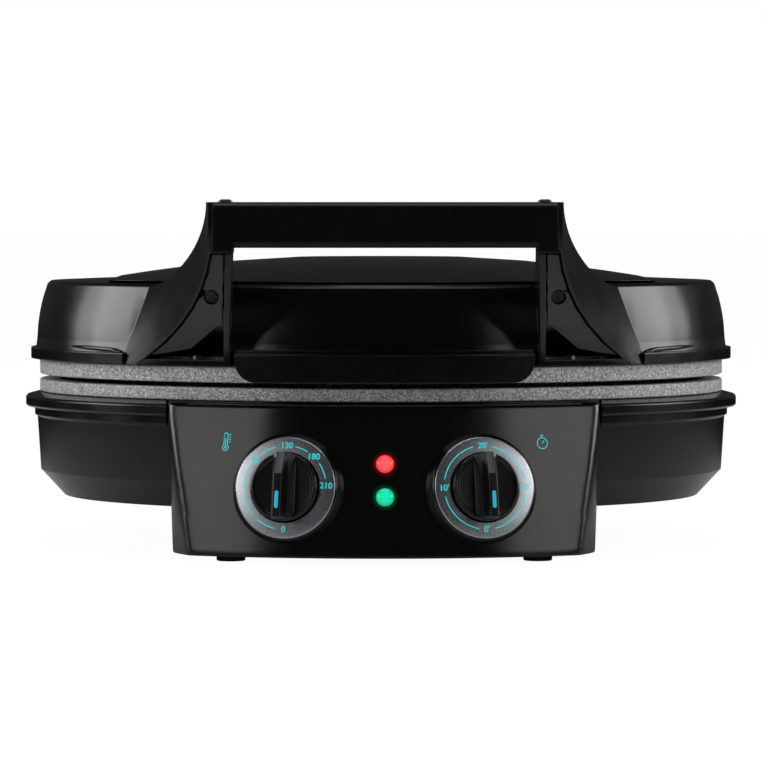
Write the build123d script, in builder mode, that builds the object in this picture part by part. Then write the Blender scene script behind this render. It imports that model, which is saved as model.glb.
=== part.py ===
from build123d import *
import os
from math import asin, atan2, cos, pi, radians, sin, sqrt, tan

# Electric pizza maker: a round countertop cooker with a hinged lid.
# Millimetres, +Z up. The origin lies on the table under the centre of the plates,
# and the control panel and the handle face -Y.

os.makedirs("parts", exist_ok=True)

MIN_Z = (Align.CENTER, Align.CENTER, Align.MIN)
MAX_Z = (Align.CENTER, Align.CENTER, Align.MAX)

# Heights, stacked from the table up
foot_height = 2.9
tub_lift = 20.5
tub_chamfer_height = 12.5
tub_wall_height = 26.6
tub_step_height = 4.9
collar_height = 5.3
seat_rise = 1.8
lower_rim_height = 6.1
plate_gap = 2.4
upper_rim_height = 7.5
lid_collar_height = 5.3
lid_flare_height = 5.0
lid_wall_height = 26.5
lid_shoulder_height = 1.5
crown_rise = 9.8
handle_lift = 55.9
bar_height = 21.1
bumper_rise = 1.3

# Clearances
seat_gap = 0.3
side_gap = 0.3
running_gap = 0.05
shaft_gap = 0.06
contact_gap = 0.1
press_gap = 0.03
nozzle_gap = 0.2
cut_past = 1.0

# Round shells, in plan
plate_radius = 170.0
collar_overhang = 7.0
tub_wall_overhang = 1.3
tub_draft = 1.7
tub_chamfer_width = 11.6
tub_step_width = 1.3
seat_width = 6.0
lid_collar_overhang = 4.4
lid_flare_overhang = 2.6
lid_wall_overhang = 1.3
lid_wall_bulge = 1.1
lid_taper = 5.1
lid_shoulder_width = 1.7
lid_margin_slope = 0.04
shell_wall = 2.5
lid_floor = 3.0
collar_chamfer = 0.8

# Crown of the lid
crown_side_margin = 37.0
crown_margin = 7.0
plateau_half_width = 42.0
plateau_margin = 71.0
plateau_side = 60.0
crown_fullness = 1.5
crown_shares = (0, 0.18, 0.38, 0.65, 1)
margin_run = 60.0

# Baking plates
cavity_depth = 10.8
cavity_margin = 10.0
cavity_draft = 4.0
plate_floor = 4.2
dish_margin = 8.5
dish_draft = 3.0
rim_round = 0.8
heater_margin = 60.0
heater_radius = 3.3
heater_gap = 0.2
heater_break_degrees = 40
heater_leg = 20.0
heater_pin_radius = 1.2
heater_pin_length = 6.0
rib_width = 3.0
rib_height = 4.5
plate_boss_margin = 42.0
plate_boss_radius = 5.0
plate_boss_count = 4
lower_boss_height = 20.8
upper_boss_height = 9.7

# Heat shields
shield_sheet = 0.8
shield_margin = 24.0
shield_lip = 5.0
leg_hole_radius = 5.0

# Control housing
housing_rise = 70.6
side_half_low = 99.8
side_half_high = 102.5
front_overhang = 20.0
front_lean = 13.0
facet_reach = 92.0
facet_margin = 23.0
housing_margin = 52.0
block_depth = 90.0
cover_thickness = 2.5
window_half_width = 84.0
window_margin = 29.0
window_edge = 0.3

# Controls on the front
dial_offset = 45.4
dial_height = 34.9
dial_radius = 23.8
dial_thickness = 1.4
ring_chamfer = 0.4
boss_flare = 3.2
boss_rise = 3.0
knob_radius = 15.95
knob_gap = 0.6
knob_disc_height = 4.6
knob_foot = 0.3
knob_chamfer = 0.7
grip_length = 30.6
grip_base_width = 10.0
grip_waist_width = 6.2
grip_waist_height = 5.0
grip_ridge_width = 3.9
grip_height = 11.3
grip_root = 1.0
grip_inset = 0.2
grip_slope_start = 4.6
grip_slope_angle = 0.44
pointer_length = 8.1
pointer_width = 1.8
pointer_offset = 7.4
pointer_depth = 0.8
pointer_round = 0.8
shaft_radius = 3.0
shaft_reach = 9.3
shaft_depth = 15.0
switch_depth = 17.0
switch_setback = 1.6
switch_bottom = 4.0
thermostat_width = 28.0
thermostat_height = 26.0
thermostat_lift = 2.0
timer_case_radius = 15.5
nozzle_recess = 0.4
switch_tab_x = 7.0
switch_tab_y = 4.0
switch_tab_width = 6.0
switch_tab_length = 5.0
lens_radius = 4.25
lens_stem_radius = 3.4
lens_rise = 2.0
lens_root = 0.2
lens_stem_length = 4.7
lamp_setback = 2.4
lamp_radius = 2.5
lamp_length = 5.0
lamp_rim_radius = 2.9
lamp_rim = 1.0
board_width = 18.0
board_height = 30.0
board_thickness = 1.6
red_height = 46.5
green_height = 31.2

# Rear housing and hinge
rear_half_width = 78.0
rear_margin = 58.0
rear_overhang = 31.0
rear_corner = 10.0
hinge_setback = 22.0
knuckle_radius = 7.5
pin_radius = 2.5
arm_offset = 60.0
arm_width = 14.0
lug_width = 8.0
lug_gap = 0.5
arm_screw_rises = (11.0, 21.0)
arm_seat_margin = 2.0
arm_heel_reach = 12.0
arm_heel_drop = 5.0
arm_inset = 12.0
arm_foot_rise = 1.0
arm_top_rise = 28.0
arm_top_overhang = 0.5
arm_shoulder_overhang = 3.5
arm_shoulder_rise = 16.0
arm_throat_reach = 10.0
arm_throat_rise = 6.0
inlet_x = 42.0
inlet_height = 16.0
inlet_bore = 3.8
inlet_radius = 5.8

# Handle: brackets, bar, inserts
bracket_angle = 42.0
bracket_flare = 7.0
bracket_flare_power = 4
bracket_hollow = 0.12
bracket_tip_x = 81.5
bracket_tip_overhang = 33.0
bracket_spread = 37.0
bracket_spread_power = 2.6
bracket_sweep = 72.0
bracket_sweep_power = 2.0
bracket_bend_height = 69.0
bracket_back_x = 83.0
bracket_back_overhang = 11.0
bracket_back_mix = 0.4
bracket_root = 0.3
bracket_rises = (0, 6, 13, 22, 30)
bracket_shares = (0, 0.05, 0.12, 0.22, 0.37, 0.55, 0.75, 1)
slab_steps = 6
leg_inner_high = 70.0
leg_inner_low = 72.7
leg_front_overhang = 34.0
leg_front_sweep = 45.5
leg_back_overhang = 7.0
blade = 1.6
leg_rib = 3.3
pocket_depth = 18.5
insert_recess = 1.5
insert_thickness = 3.0
insert_gap = 0.5
bar_half_length = 80.0
bar_overhang = 33.4
bar_depth = 25.4
bar_block_drop = 2.4
bar_wall = 2.5
bar_chamfer = 2.0
bar_round = 3.0
bumper_end_margin = 6.2
bumper_overhang = 20.0
bumper_radius = 3.65
bumper_top_radius = 2.05

# Front lip of the lid
lip_half_width = 70.0
lip_overhang = 15.0
lip_height = 13.0
lip_edge = 0.6
lip_wall = 3.0
lip_corner = 10.0
lip_step_width = 5.0
lip_step_height = 2.2

# Fasteners
screw_radius = 1.9
screw_head_radius = 3.5
screw_head_height = 2.2
small_screw_radius = 1.5
small_head_radius = 2.9
small_head_height = 1.6
thread_gap = 0.1

# Feet
foot_radius = 6.8
foot_stem_radius = 2.5
front_foot_x = 72.0
front_foot_margin = 12.0
rear_foot_x = 62.0
rear_foot_overhang = 12.0

# Levels worked out from the stack
housing_low = foot_height
tub_bottom = housing_low + tub_lift
tub_floor = tub_bottom + shell_wall
chamfer_top = tub_bottom + tub_chamfer_height
step_low = chamfer_top + tub_wall_height
collar_low = step_low + tub_step_height
collar_high = collar_low + collar_height
seat_top = collar_high + seat_rise
housing_high = housing_low + housing_rise
lower_rim_low = seat_top + seat_gap
lower_face = lower_rim_low + lower_rim_height
upper_face = lower_face + plate_gap
upper_rim_high = upper_face + upper_rim_height
lid_low = upper_rim_high + seat_gap
lid_collar_high = lid_low + lid_collar_height
lid_wall_low = lid_collar_high + lid_flare_height
lid_wall_high = lid_wall_low + lid_wall_height
lid_margin_low = lid_wall_high + lid_shoulder_height
bar_low = lid_low + handle_lift
bar_high = bar_low + bar_height
bar_block_low = bar_low - bar_block_drop
hinge_height = (bar_high + bumper_rise) / 2

# Radii and places worked out from the plates
cavity_radius = plate_radius - cavity_margin
dish_radius = plate_radius - dish_margin
heater_circle = plate_radius - heater_margin
plate_boss_circle = plate_radius - plate_boss_margin
shield_radius = plate_radius - shield_margin
crown_half_width = plate_radius - crown_side_margin
crown_reach = plate_radius - crown_margin
plateau_reach = plate_radius - plateau_margin
front_radius_low = plate_radius + front_overhang
facet_back = facet_margin - plate_radius
housing_back = housing_margin - plate_radius
window_back = window_margin - plate_radius
rear_inner = plate_radius - rear_margin
rear_face = plate_radius + rear_overhang
arm_seat_y = plate_radius - arm_seat_margin
bracket_tip_y = -plate_radius - bracket_tip_overhang
bracket_back_y = -plate_radius - bracket_back_overhang
leg_front_y = -plate_radius - leg_front_overhang
leg_back_y = -plate_radius - leg_back_overhang
bar_front = -plate_radius - bar_overhang
bumper_x = bar_half_length - bumper_end_margin
bumper_y = -plate_radius - bumper_overhang
front_foot_y = front_foot_margin - plate_radius
rear_foot_y = plate_radius + rear_foot_overhang
beyond = 3 * plate_radius
collar_radius = plate_radius + collar_overhang
tub_wall_radius = plate_radius + tub_wall_overhang
tub_foot_radius = tub_wall_radius - tub_draft
tub_bottom_radius = tub_foot_radius - tub_chamfer_width
step_radius = tub_wall_radius + tub_step_width
seat_outer = plate_radius + side_gap
seat_inner = plate_radius - seat_width
lid_collar_radius = plate_radius + lid_collar_overhang
lid_flare_radius = plate_radius + lid_flare_overhang
lid_wall_radius = plate_radius + lid_wall_overhang
lid_top_radius = lid_wall_radius - lid_taper
lid_margin_radius = lid_top_radius - lid_shoulder_width
front_radius_high = front_radius_low - front_lean
lean = atan2(front_lean, housing_rise)
hinge_y = plate_radius + hinge_setback
lower_back = lower_face - cavity_depth - plate_floor
upper_back = upper_face + cavity_depth + plate_floor
lower_post_top = lower_back - lower_boss_height - shield_sheet - 2 * contact_gap


def save(part, name):
    """Name a finished piece and write it out."""
    part.label = name
    export_step(part, f"parts/{name}.step")


def front_y(radius, x):
    """Y of a circle about the plates' axis at a given X, on the front side."""
    return -sqrt(radius**2 - x**2)


def screws(planes, head_radius, head_height, shank_radius, length):
    """Cross-head screws: each plane lies under a head, facing out."""
    with BuildPart(*planes) as group:
        Cylinder(head_radius, head_height, align=MIN_Z)
        Cylinder(shank_radius, length, align=MAX_Z)
        with Locations((0, 0, head_height)):
            for turn in (0, 90):
                Box(
                    1.2 * head_radius, 0.25 * head_radius, 0.5 * head_height,
                    rotation=(0, 0, turn), align=MAX_Z, mode=Mode.SUBTRACT,
                )
    return group.part


# Lower housing: a round tub with a chamfered foot edge and a collar that carries the plate


def tub_side(out):
    """The tub's outer side from its flat bottom up to its step, moved out by a distance."""
    return [
        (tub_bottom_radius + out, tub_bottom - max(out, 0)),
        (tub_foot_radius + out, chamfer_top),
        (tub_wall_radius + out, step_low),
    ]


post_radius = plate_boss_radius + 2.0
post_height = lower_post_top - tub_bottom
screw_seat = 4.0
screw_shoulder = lower_post_top - screw_seat
step_edge = 0.8
collar_break = side_half_high + side_gap
collar_break_radius = seat_outer - 0.15
wire_hole_radius = 9.0
wire_hole_y = rear_inner + 16.0

with BuildPart() as base_shell:
    with BuildSketch(Plane.XZ):
        with BuildLine():
            inner_side = tub_side(-shell_wall)
            Polyline(
                (0, tub_bottom),
                *tub_side(0),
                (step_radius, step_low + step_edge),
                (step_radius, collar_low),
                (collar_radius, collar_low),
                (collar_radius, collar_high),
                (seat_outer, seat_top),
                (seat_inner, seat_top),
                (seat_inner, seat_top - shell_wall),
                (tub_wall_radius - shell_wall, seat_top - shell_wall),
                inner_side[2],
                inner_side[1],
                (tub_bottom_radius - cut_past, tub_floor),
                (0, tub_floor),
                close=True,
            )
        make_face()
        chamfer(vertices().group_by(Axis.X)[-1], collar_chamfer)
    revolve(axis=Axis.Z)
    # the collar stops where the control housing takes its place
    with BuildSketch(Plane.XY.offset(step_low)):
        with Locations((0, -collar_radius)):
            Rectangle(2 * collar_break, 2 * (collar_radius + housing_back))
        Circle(collar_break_radius, mode=Mode.SUBTRACT)
    extrude(amount=seat_top - step_low + cut_past, mode=Mode.SUBTRACT)
    # the wall behind the control housing is open, for the thermostat and the timer
    with BuildSketch(Plane.XY.offset(tub_floor + window_edge)):
        with Locations((0, window_back)):
            Rectangle(2 * window_half_width, collar_radius, align=(Align.CENTER, Align.MAX))
    extrude(amount=step_low - tub_floor - 2 * window_edge, mode=Mode.SUBTRACT)
    # posts under the plate's bosses, with counterbored screw holes from below
    with Locations((0, 0, tub_bottom)):
        with PolarLocations(plate_boss_circle, plate_boss_count, start_angle=45):
            Cylinder(post_radius, post_height, align=MIN_Z)
            Cylinder(
                screw_head_radius + side_gap, screw_shoulder - tub_bottom,
                align=MIN_Z, mode=Mode.SUBTRACT,
            )
            Cylinder(screw_radius + side_gap, post_height, align=MIN_Z, mode=Mode.SUBTRACT)
    with Locations((0, wire_hole_y, tub_bottom)):
        Cylinder(wire_hole_radius, shell_wall, align=MIN_Z, mode=Mode.SUBTRACT)
save(base_shell.part, "base_shell")


# Baking plates: cast dishes with a rim, a heater channel and four bosses on the back


def plate(face, toward_back, rim_height, boss_height):
    """One plate: its rim's mating face is at a height, its back lies up (1) or down (-1)."""

    def level(depth):
        return face + toward_back * depth

    back = cavity_depth + plate_floor
    with BuildPart() as body:
        with BuildSketch(Plane.XZ):
            with BuildLine():
                Polyline(
                    (0, level(cavity_depth)),
                    (cavity_radius - cavity_draft, level(cavity_depth)),
                    (cavity_radius, level(0)),
                    (plate_radius, level(0)),
                    (plate_radius, level(rim_height)),
                    (dish_radius, level(rim_height)),
                    (dish_radius - dish_draft, level(back)),
                    (0, level(back)),
                    close=True,
                )
            make_face()
        revolve(axis=Axis.Z)
        rim = [
            edge
            for edge in body.edges().filter_by(GeomType.CIRCLE)
            if abs(edge.radius - plate_radius) < 0.01
        ]
        fillet(rim, rim_round)
        channel = heater_radius + heater_gap
        for inner in (heater_circle - channel - rib_width, heater_circle + channel):
            low, high = sorted((level(back), level(back + rib_height)))
            with BuildSketch(Plane.XY.offset(low)):
                Circle(inner + rib_width)
                Circle(inner, mode=Mode.SUBTRACT)
            extrude(amount=high - low)
        low, high = sorted((level(back - cut_past), level(back + boss_height)))
        with BuildSketch(Plane.XY.offset(low)):
            with PolarLocations(plate_boss_circle, plate_boss_count, start_angle=45):
                Circle(plate_boss_radius)
        extrude(amount=high - low)
        low, high = sorted((level(back), level(back + boss_height)))
        with BuildSketch(Plane.XY.offset(low)):
            with PolarLocations(plate_boss_circle, plate_boss_count, start_angle=45):
                Circle(screw_radius + thread_gap)
        extrude(amount=high - low, mode=Mode.SUBTRACT)
    return body.part


# two screws at the front and two at the hinge hold the upper plate's rim to the lid
rim_screw_margin = 4.2
front_rim_screw_setback = 29.4808
rim_screw_circle = plate_radius - rim_screw_margin
front_rim_screw_y = plate_radius - front_rim_screw_setback
front_rim_screw_x = sqrt(rim_screw_circle**2 - front_rim_screw_y**2)
rear_rim_screw_x = arm_offset + arm_width / 2 + 9.0
rim_hole_depth = upper_rim_height - 2.0
rim_screw_spots = [
    (side * x, end * front_y(rim_screw_circle, x))
    for x, end in ((front_rim_screw_x, 1), (rear_rim_screw_x, -1))
    for side in (-1, 1)
]

lower_plate = plate(lower_face, -1, lower_rim_height, lower_boss_height)
save(lower_plate, "lower_plate")

with BuildPart() as upper_plate:
    add(plate(upper_face, 1, upper_rim_height, upper_boss_height))
    with BuildSketch(Plane.XY.offset(upper_rim_high - rim_hole_depth)):
        with Locations(*rim_screw_spots):
            Circle(small_screw_radius + thread_gap)
    extrude(amount=rim_hole_depth, mode=Mode.SUBTRACT)
save(upper_plate.part, "upper_plate")


# Heating elements: a sheathed tube bent round the channel, its ends turned away from the plate


def heater(level, toward_back, middle_of_break):
    """A ring of tube, open over a short arc, with two straight legs."""
    start = radians(middle_of_break + heater_break_degrees / 2)
    ring_plane = Plane(
        origin=(0, 0, 0), x_dir=(cos(start), sin(start), 0), z_dir=(sin(start), -cos(start), 0)
    )
    with BuildPart() as tube:
        with BuildSketch(ring_plane):
            with Locations((heater_circle, level)):
                Circle(heater_radius)
        revolve(axis=Axis.Z, revolution_arc=360 - heater_break_degrees)
        low, high = sorted((level, level + toward_back * heater_leg))
        for end in (-1, 1):
            angle = radians(middle_of_break + end * heater_break_degrees / 2)
            foot = (heater_circle * cos(angle), heater_circle * sin(angle))
            with Locations((*foot, level)):
                Sphere(heater_radius)
            with Locations((*foot, low)):
                Cylinder(heater_radius, high - low, align=MIN_Z)
            tip = level + toward_back * heater_leg
            with Locations((*foot, min(tip, tip + toward_back * heater_pin_length))):
                Cylinder(heater_pin_radius, heater_pin_length, align=MIN_Z)
    return tube.part


lower_heater_level = lower_back - heater_radius - heater_gap
upper_heater_level = upper_back + heater_radius + heater_gap
save(heater(lower_heater_level, -1, -90), "lower_heater")
save(heater(upper_heater_level, 1, 90), "upper_heater")


# Heat shields: pressed sheet dishes between the elements and the housings


def heat_shield(low, lip_rise, middle_of_break):
    """A flat disc with a turned lip, holes for the bosses' screws and for the heater's legs."""
    with BuildPart() as shield:
        with BuildSketch(Plane.XZ):
            with BuildLine():
                Polyline(
                    (0, low),
                    (shield_radius, low),
                    (shield_radius + shield_lip, low + lip_rise),
                    (shield_radius + shield_lip, low + lip_rise + shield_sheet),
                    (shield_radius, low + shield_sheet),
                    (0, low + shield_sheet),
                    close=True,
                )
            make_face()
        revolve(axis=Axis.Z)
        with BuildSketch(Plane.XY.offset(low)):
            with PolarLocations(plate_boss_circle, plate_boss_count, start_angle=45):
                Circle(screw_radius + side_gap)
            with PolarLocations(
                heater_circle, 2, start_angle=middle_of_break - heater_break_degrees / 2,
                angular_range=2 * heater_break_degrees,
            ):
                Circle(leg_hole_radius)
        extrude(amount=shield_sheet, mode=Mode.SUBTRACT)
    return shield.part


lower_shield_low = lower_post_top + contact_gap
upper_shield_low = upper_back + upper_boss_height + contact_gap
save(heat_shield(lower_shield_low, shield_lip, -90), "lower_heat_shield")
save(heat_shield(upper_shield_low, -shield_lip, 90), "upper_heat_shield")

boss_spots = [
    (
        plate_boss_circle * cos(radians(45 + turn * 360 / plate_boss_count)),
        plate_boss_circle * sin(radians(45 + turn * 360 / plate_boss_count)),
    )
    for turn in range(plate_boss_count)
]
screw_end_gap = 1.5
shield_screw_length = upper_boss_height - screw_end_gap
lower_screw_planes = [
    Plane(origin=(x, y, screw_shoulder - contact_gap), z_dir=(0, 0, -1)) for x, y in boss_spots
]
lower_screw_length = lower_back - screw_shoulder - screw_seat
save(
    screws(
        lower_screw_planes, screw_head_radius, screw_head_height, screw_radius, lower_screw_length
    ),
    "lower_plate_screws",
)
shield_screw_planes = [
    Plane(origin=(x, y, upper_shield_low + shield_sheet + contact_gap)) for x, y in boss_spots
]
save(
    screws(
        shield_screw_planes, screw_head_radius, screw_head_height, screw_radius,
        shield_screw_length,
    ),
    "upper_shield_screws",
)

# Thermal cut-out: a small disc switch on the back of the lower plate
cutout_radius = 8.0
cutout_height = 6.0
cutout_tab_offset = 5.0
cutout_tab_width = 4.0
cutout_tab_length = 7.0
tab_thickness = 0.8
with BuildPart() as thermal_cutout:
    with Locations((0, 0, lower_back - contact_gap)):
        Cylinder(cutout_radius, cutout_height, align=MAX_Z)
        with Locations(*[(end * cutout_tab_offset, 0, -cutout_height) for end in (-1, 1)]):
            Box(cutout_tab_width, tab_thickness, cutout_tab_length, align=MAX_Z)
save(thermal_cutout.part, "thermal_cutout")


# Control housing: a box with a leaning, curved front, wrapped round the front of the tub


def facet_plane(side, inset):
    """The flat facet at one front corner; it narrows to nothing at the top."""
    low_front = Vector(facet_reach, front_y(front_radius_low, facet_reach), housing_low)
    low_back = Vector(side_half_low, facet_back, housing_low)
    high = Vector(side_half_high, front_y(front_radius_high, side_half_high), housing_high)
    normal = (low_back - low_front).cross(high - low_front).normalized()
    if normal.Y > 0:
        normal = normal * -1
    origin = low_front - normal * inset
    return Plane(
        origin=(side * origin.X, origin.Y, origin.Z), z_dir=(side * normal.X, normal.Y, normal.Z)
    )


def control_block(inset):
    """The housing's full outer form, with its sides, front, back and facets drawn in."""
    with BuildPart() as block:
        for half_width, height in ((side_half_low, housing_low), (side_half_high, housing_high)):
            with BuildSketch(Plane.XY.offset(height)):
                with Locations((0, housing_back - inset)):
                    Rectangle(2 * (half_width - inset), block_depth, align=(Align.CENTER, Align.MAX))
        loft(ruled=True)
        with Locations((0, 0, housing_low)):
            Cone(
                front_radius_low - inset, front_radius_high - inset, housing_rise,
                align=MIN_Z, mode=Mode.INTERSECT,
            )
        for side in (-1, 1):
            split(bisect_by=facet_plane(side, inset), keep=Keep.BOTTOM)
    return block.part


def panel_plane(x, z):
    """A plane on the leaning front face, facing out of it, at a given X and height."""
    radius = front_radius_low - (z - housing_low) * front_lean / housing_rise
    turn = asin(x / radius)
    return Plane(
        origin=(x, front_y(radius, x), z),
        x_dir=(cos(turn), sin(turn), 0),
        z_dir=(cos(lean) * sin(turn), -cos(lean) * cos(turn), sin(lean)),
    )


temperature_plane = panel_plane(-dial_offset, dial_height)
timer_plane = panel_plane(dial_offset, dial_height)
red_plane = panel_plane(0, red_height)
green_plane = panel_plane(0, green_height)
nozzle_radius = 5.0
boss_edge = 0.3
housing_post_height = 18.0
housing_post_radius = 4.0
post_inset = 3.0
side_post_setback = 12.0
middle_post_x = 20.0
middle_post_y = front_y(front_radius_low - shell_wall - housing_post_radius, middle_post_x)
post_spots = [
    (side * (side_half_low - shell_wall - post_inset), housing_back - side_post_setback)
    for side in (-1, 1)
] + [(side * middle_post_x, middle_post_y) for side in (-1, 1)]


def control_hollow():
    """The space inside the housing, under its roof."""
    with BuildPart() as space:
        add(control_block(shell_wall))
        split(bisect_by=Plane.XY.offset(housing_high - shell_wall), keep=Keep.BOTTOM)
    return space.part


def posts(spots):
    """Screw posts for a bottom cover, added to the part that is being built."""
    with Locations(*[(x, y, housing_low + cover_thickness + contact_gap) for x, y in spots]):
        Cylinder(housing_post_radius, housing_post_height, align=MIN_Z)
        Cylinder(
            small_screw_radius + thread_gap, housing_post_height - screw_end_gap, align=MIN_Z,
            mode=Mode.SUBTRACT,
        )



with BuildPart() as control_housing:
    add(control_block(0))
    add(control_hollow(), mode=Mode.SUBTRACT)
    for plane in (temperature_plane, timer_plane):
        with Locations(plane.offset(-shell_wall)):
            Cone(
                dial_radius + boss_flare, dial_radius + boss_edge, boss_rise + shell_wall,
                align=MIN_Z,
            )
            Cylinder(nozzle_radius + nozzle_gap, 4 * (boss_rise + shell_wall), mode=Mode.SUBTRACT)
    for plane in (red_plane, green_plane):
        with Locations(plane):
            Cylinder(lens_stem_radius + contact_gap, 4 * shell_wall, mode=Mode.SUBTRACT)
    posts(post_spots)
    # it follows the tub's side, and its roof ends just outside the plate's seat
    with BuildSketch(Plane.XZ):
        with BuildLine():
            Polyline(
                (0, tub_bottom - side_gap),
                *tub_side(side_gap),
                (seat_outer + side_gap, step_low),
                (seat_outer + side_gap, housing_high + cut_past),
                (0, housing_high + cut_past),
                close=True,
            )
        make_face()
    revolve(axis=Axis.Z, mode=Mode.SUBTRACT)
save(control_housing.part, "control_housing")

foot_hole_radius = foot_stem_radius + contact_gap
front_foot_spots = [(side * front_foot_x, front_foot_y) for side in (-1, 1)]
rear_foot_spots = [(side * rear_foot_x, rear_foot_y) for side in (-1, 1)]


def bottom_cover(outline, foot_spots, screw_spots):
    """A cover plate cut from a block's outline, with foot holes and counterbored screw holes."""
    with BuildPart() as cover:
        add(outline)
        with BuildSketch(Plane.XY.offset(housing_low)):
            Rectangle(beyond, beyond)
        extrude(amount=cover_thickness, mode=Mode.INTERSECT)
        with Locations(*[(x, y, housing_low) for x, y in foot_spots]):
            Cylinder(foot_hole_radius, cover_thickness, align=MIN_Z, mode=Mode.SUBTRACT)
        with Locations(*[(x, y, housing_low) for x, y in screw_spots]):
            Cylinder(
                small_head_radius + side_gap, small_head_height + contact_gap, align=MIN_Z,
                mode=Mode.SUBTRACT,
            )
            Cylinder(
                small_screw_radius + side_gap, cover_thickness, align=MIN_Z, mode=Mode.SUBTRACT
            )
    return cover.part


save(
    bottom_cover(control_block(shell_wall + side_gap), front_foot_spots, post_spots),
    "control_cover",
)

# Catches: small lugs at the ends of the housing's roof, under the plate's rim
catch_length = 8.0
catch_width = 5.0
catch_x = side_half_high - 5.5
catch_y = front_y(front_radius_high, catch_x) + 2.4
with BuildPart() as plate_catches:
    with Locations((-catch_x, catch_y, housing_high), (catch_x, catch_y, housing_high)):
        Box(catch_length, catch_width, seat_top - housing_high, align=MIN_Z)
save(plate_catches.part, "plate_catches")


# Dials, knobs, shafts and the switches behind them


def dial_ring(plane):
    """A flat silver ring, bevelled at both edges, seated on the housing's boss."""
    with BuildPart(plane.offset(boss_rise + contact_gap)) as ring:
        Cylinder(dial_radius, dial_thickness, align=MIN_Z)
        Cylinder(knob_radius + knob_gap, dial_thickness, align=MIN_Z, mode=Mode.SUBTRACT)
        top = ring.edges().filter_by(GeomType.CIRCLE).sort_by(lambda edge: edge.radius)
        chamfer(top[-2:], ring_chamfer)
    return ring.part


def knob(plane):
    """A round disc with a tapered bar grip across it; the bar slopes down at its upper end."""
    base = boss_rise + knob_foot
    with BuildPart(plane.offset(base)) as body:
        Cylinder(knob_radius, knob_disc_height, align=MIN_Z)
        outer = body.edges().filter_by(GeomType.CIRCLE).sort_by(Axis(plane.origin, plane.z_dir))
        chamfer(outer[-1], knob_chamfer)
    with BuildPart() as grip:
        foot_level = base + knob_disc_height - grip_root
        widths = (
            (grip_base_width, foot_level),
            (grip_waist_width, foot_level + grip_waist_height),
            (grip_ridge_width, base + knob_disc_height + grip_height),
        )
        for width, height in widths:
            with BuildSketch(plane.offset(height)):
                Rectangle(width, grip_length)
        loft(ruled=True)
        # both ends follow the disc's circle
        with BuildSketch(plane.offset(base)):
            Circle(knob_radius - grip_inset)
        extrude(amount=knob_disc_height + grip_height + cut_past, mode=Mode.INTERSECT)
        ridge = base + knob_disc_height + grip_height
        slope_plane = Plane(
            origin=plane.from_local_coords((0, grip_slope_start, ridge)),
            x_dir=plane.x_dir,
            z_dir=plane.from_local_coords((0, sin(grip_slope_angle), cos(grip_slope_angle)))
            - plane.origin,
        )
        split(bisect_by=slope_plane, keep=Keep.BOTTOM)
    with BuildPart() as whole:
        add(body.part)
        add(grip.part)
        with Locations(plane.offset(base)):
            Cylinder(
                shaft_radius + contact_gap, shaft_reach - base + contact_gap, align=MIN_Z,
                mode=Mode.SUBTRACT,
            )
        with Locations(plane * Pos(0, -pointer_offset, ridge)):
            Box(
                pointer_width + contact_gap, pointer_length + contact_gap,
                pointer_depth + contact_gap, align=MAX_Z, mode=Mode.SUBTRACT,
            )
    return whole.part


def pointer(plane):
    """The coloured mark let into the grip's ridge."""
    ridge = boss_rise + knob_foot + knob_disc_height + grip_height
    with BuildPart(plane.offset(ridge)) as mark:
        with Locations((0, -pointer_offset, 0)):
            Box(pointer_width, pointer_length, pointer_depth, align=MAX_Z)
        fillet(mark.edges().filter_by(Axis(plane.origin, plane.z_dir)), pointer_round)
    return mark.part


def shaft(plane):
    """The spindle that carries a knob and runs in the switch behind the panel."""
    with BuildPart(plane.offset(-shaft_depth)) as spindle:
        Cylinder(shaft_radius, shaft_depth + shaft_reach, align=MIN_Z)
    return spindle.part


def switch_body(plane, round_case):
    """A thermostat (square case) or a timer (round case), with its nozzle and terminals."""
    front = -shell_wall - switch_setback
    with BuildPart(plane.offset(front)) as body:
        if round_case:
            Cylinder(timer_case_radius, switch_depth, align=MAX_Z)
        else:
            with Locations((0, thermostat_lift, 0)):
                Box(thermostat_width, thermostat_height, switch_depth, align=MAX_Z)
        Cylinder(nozzle_radius, boss_rise - nozzle_recess - front, align=MIN_Z)
        with Locations((0, 0, switch_bottom - switch_depth)):
            Cylinder(shaft_radius + running_gap, 2 * switch_depth, align=MIN_Z, mode=Mode.SUBTRACT)
        with Locations(*[(end * switch_tab_x, switch_tab_y, -switch_depth) for end in (-1, 1)]):
            Box(switch_tab_width, tab_thickness, switch_tab_length, align=MAX_Z)
    return body.part


for name, plane, round_case in (
    ("temperature", temperature_plane, False),
    ("timer", timer_plane, True),
):
    save(dial_ring(plane), f"{name}_dial")
    save(knob(plane), f"{name}_knob")
    save(pointer(plane), f"{name}_pointer")
    save(shaft(plane), f"{name}_shaft")
    save(switch_body(plane, round_case), f"{name}_switch")


# Indicator lights: domed lenses in the panel, lamps behind them on one small board


def lens(plane):
    """A domed lens with a stem through the panel."""
    with BuildPart() as body:
        dome_radius = (lens_radius**2 + lens_rise**2) / (2 * lens_rise)
        with Locations(plane.offset(lens_rise - dome_radius)):
            Sphere(dome_radius)
        with Locations(plane.offset(contact_gap)):
            Cylinder(lens_radius, lens_rise + cut_past, align=MIN_Z, mode=Mode.INTERSECT)
        with Locations(plane.offset(contact_gap + lens_root)):
            Cylinder(lens_stem_radius, lens_stem_length, align=MAX_Z)
    return body.part


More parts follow.
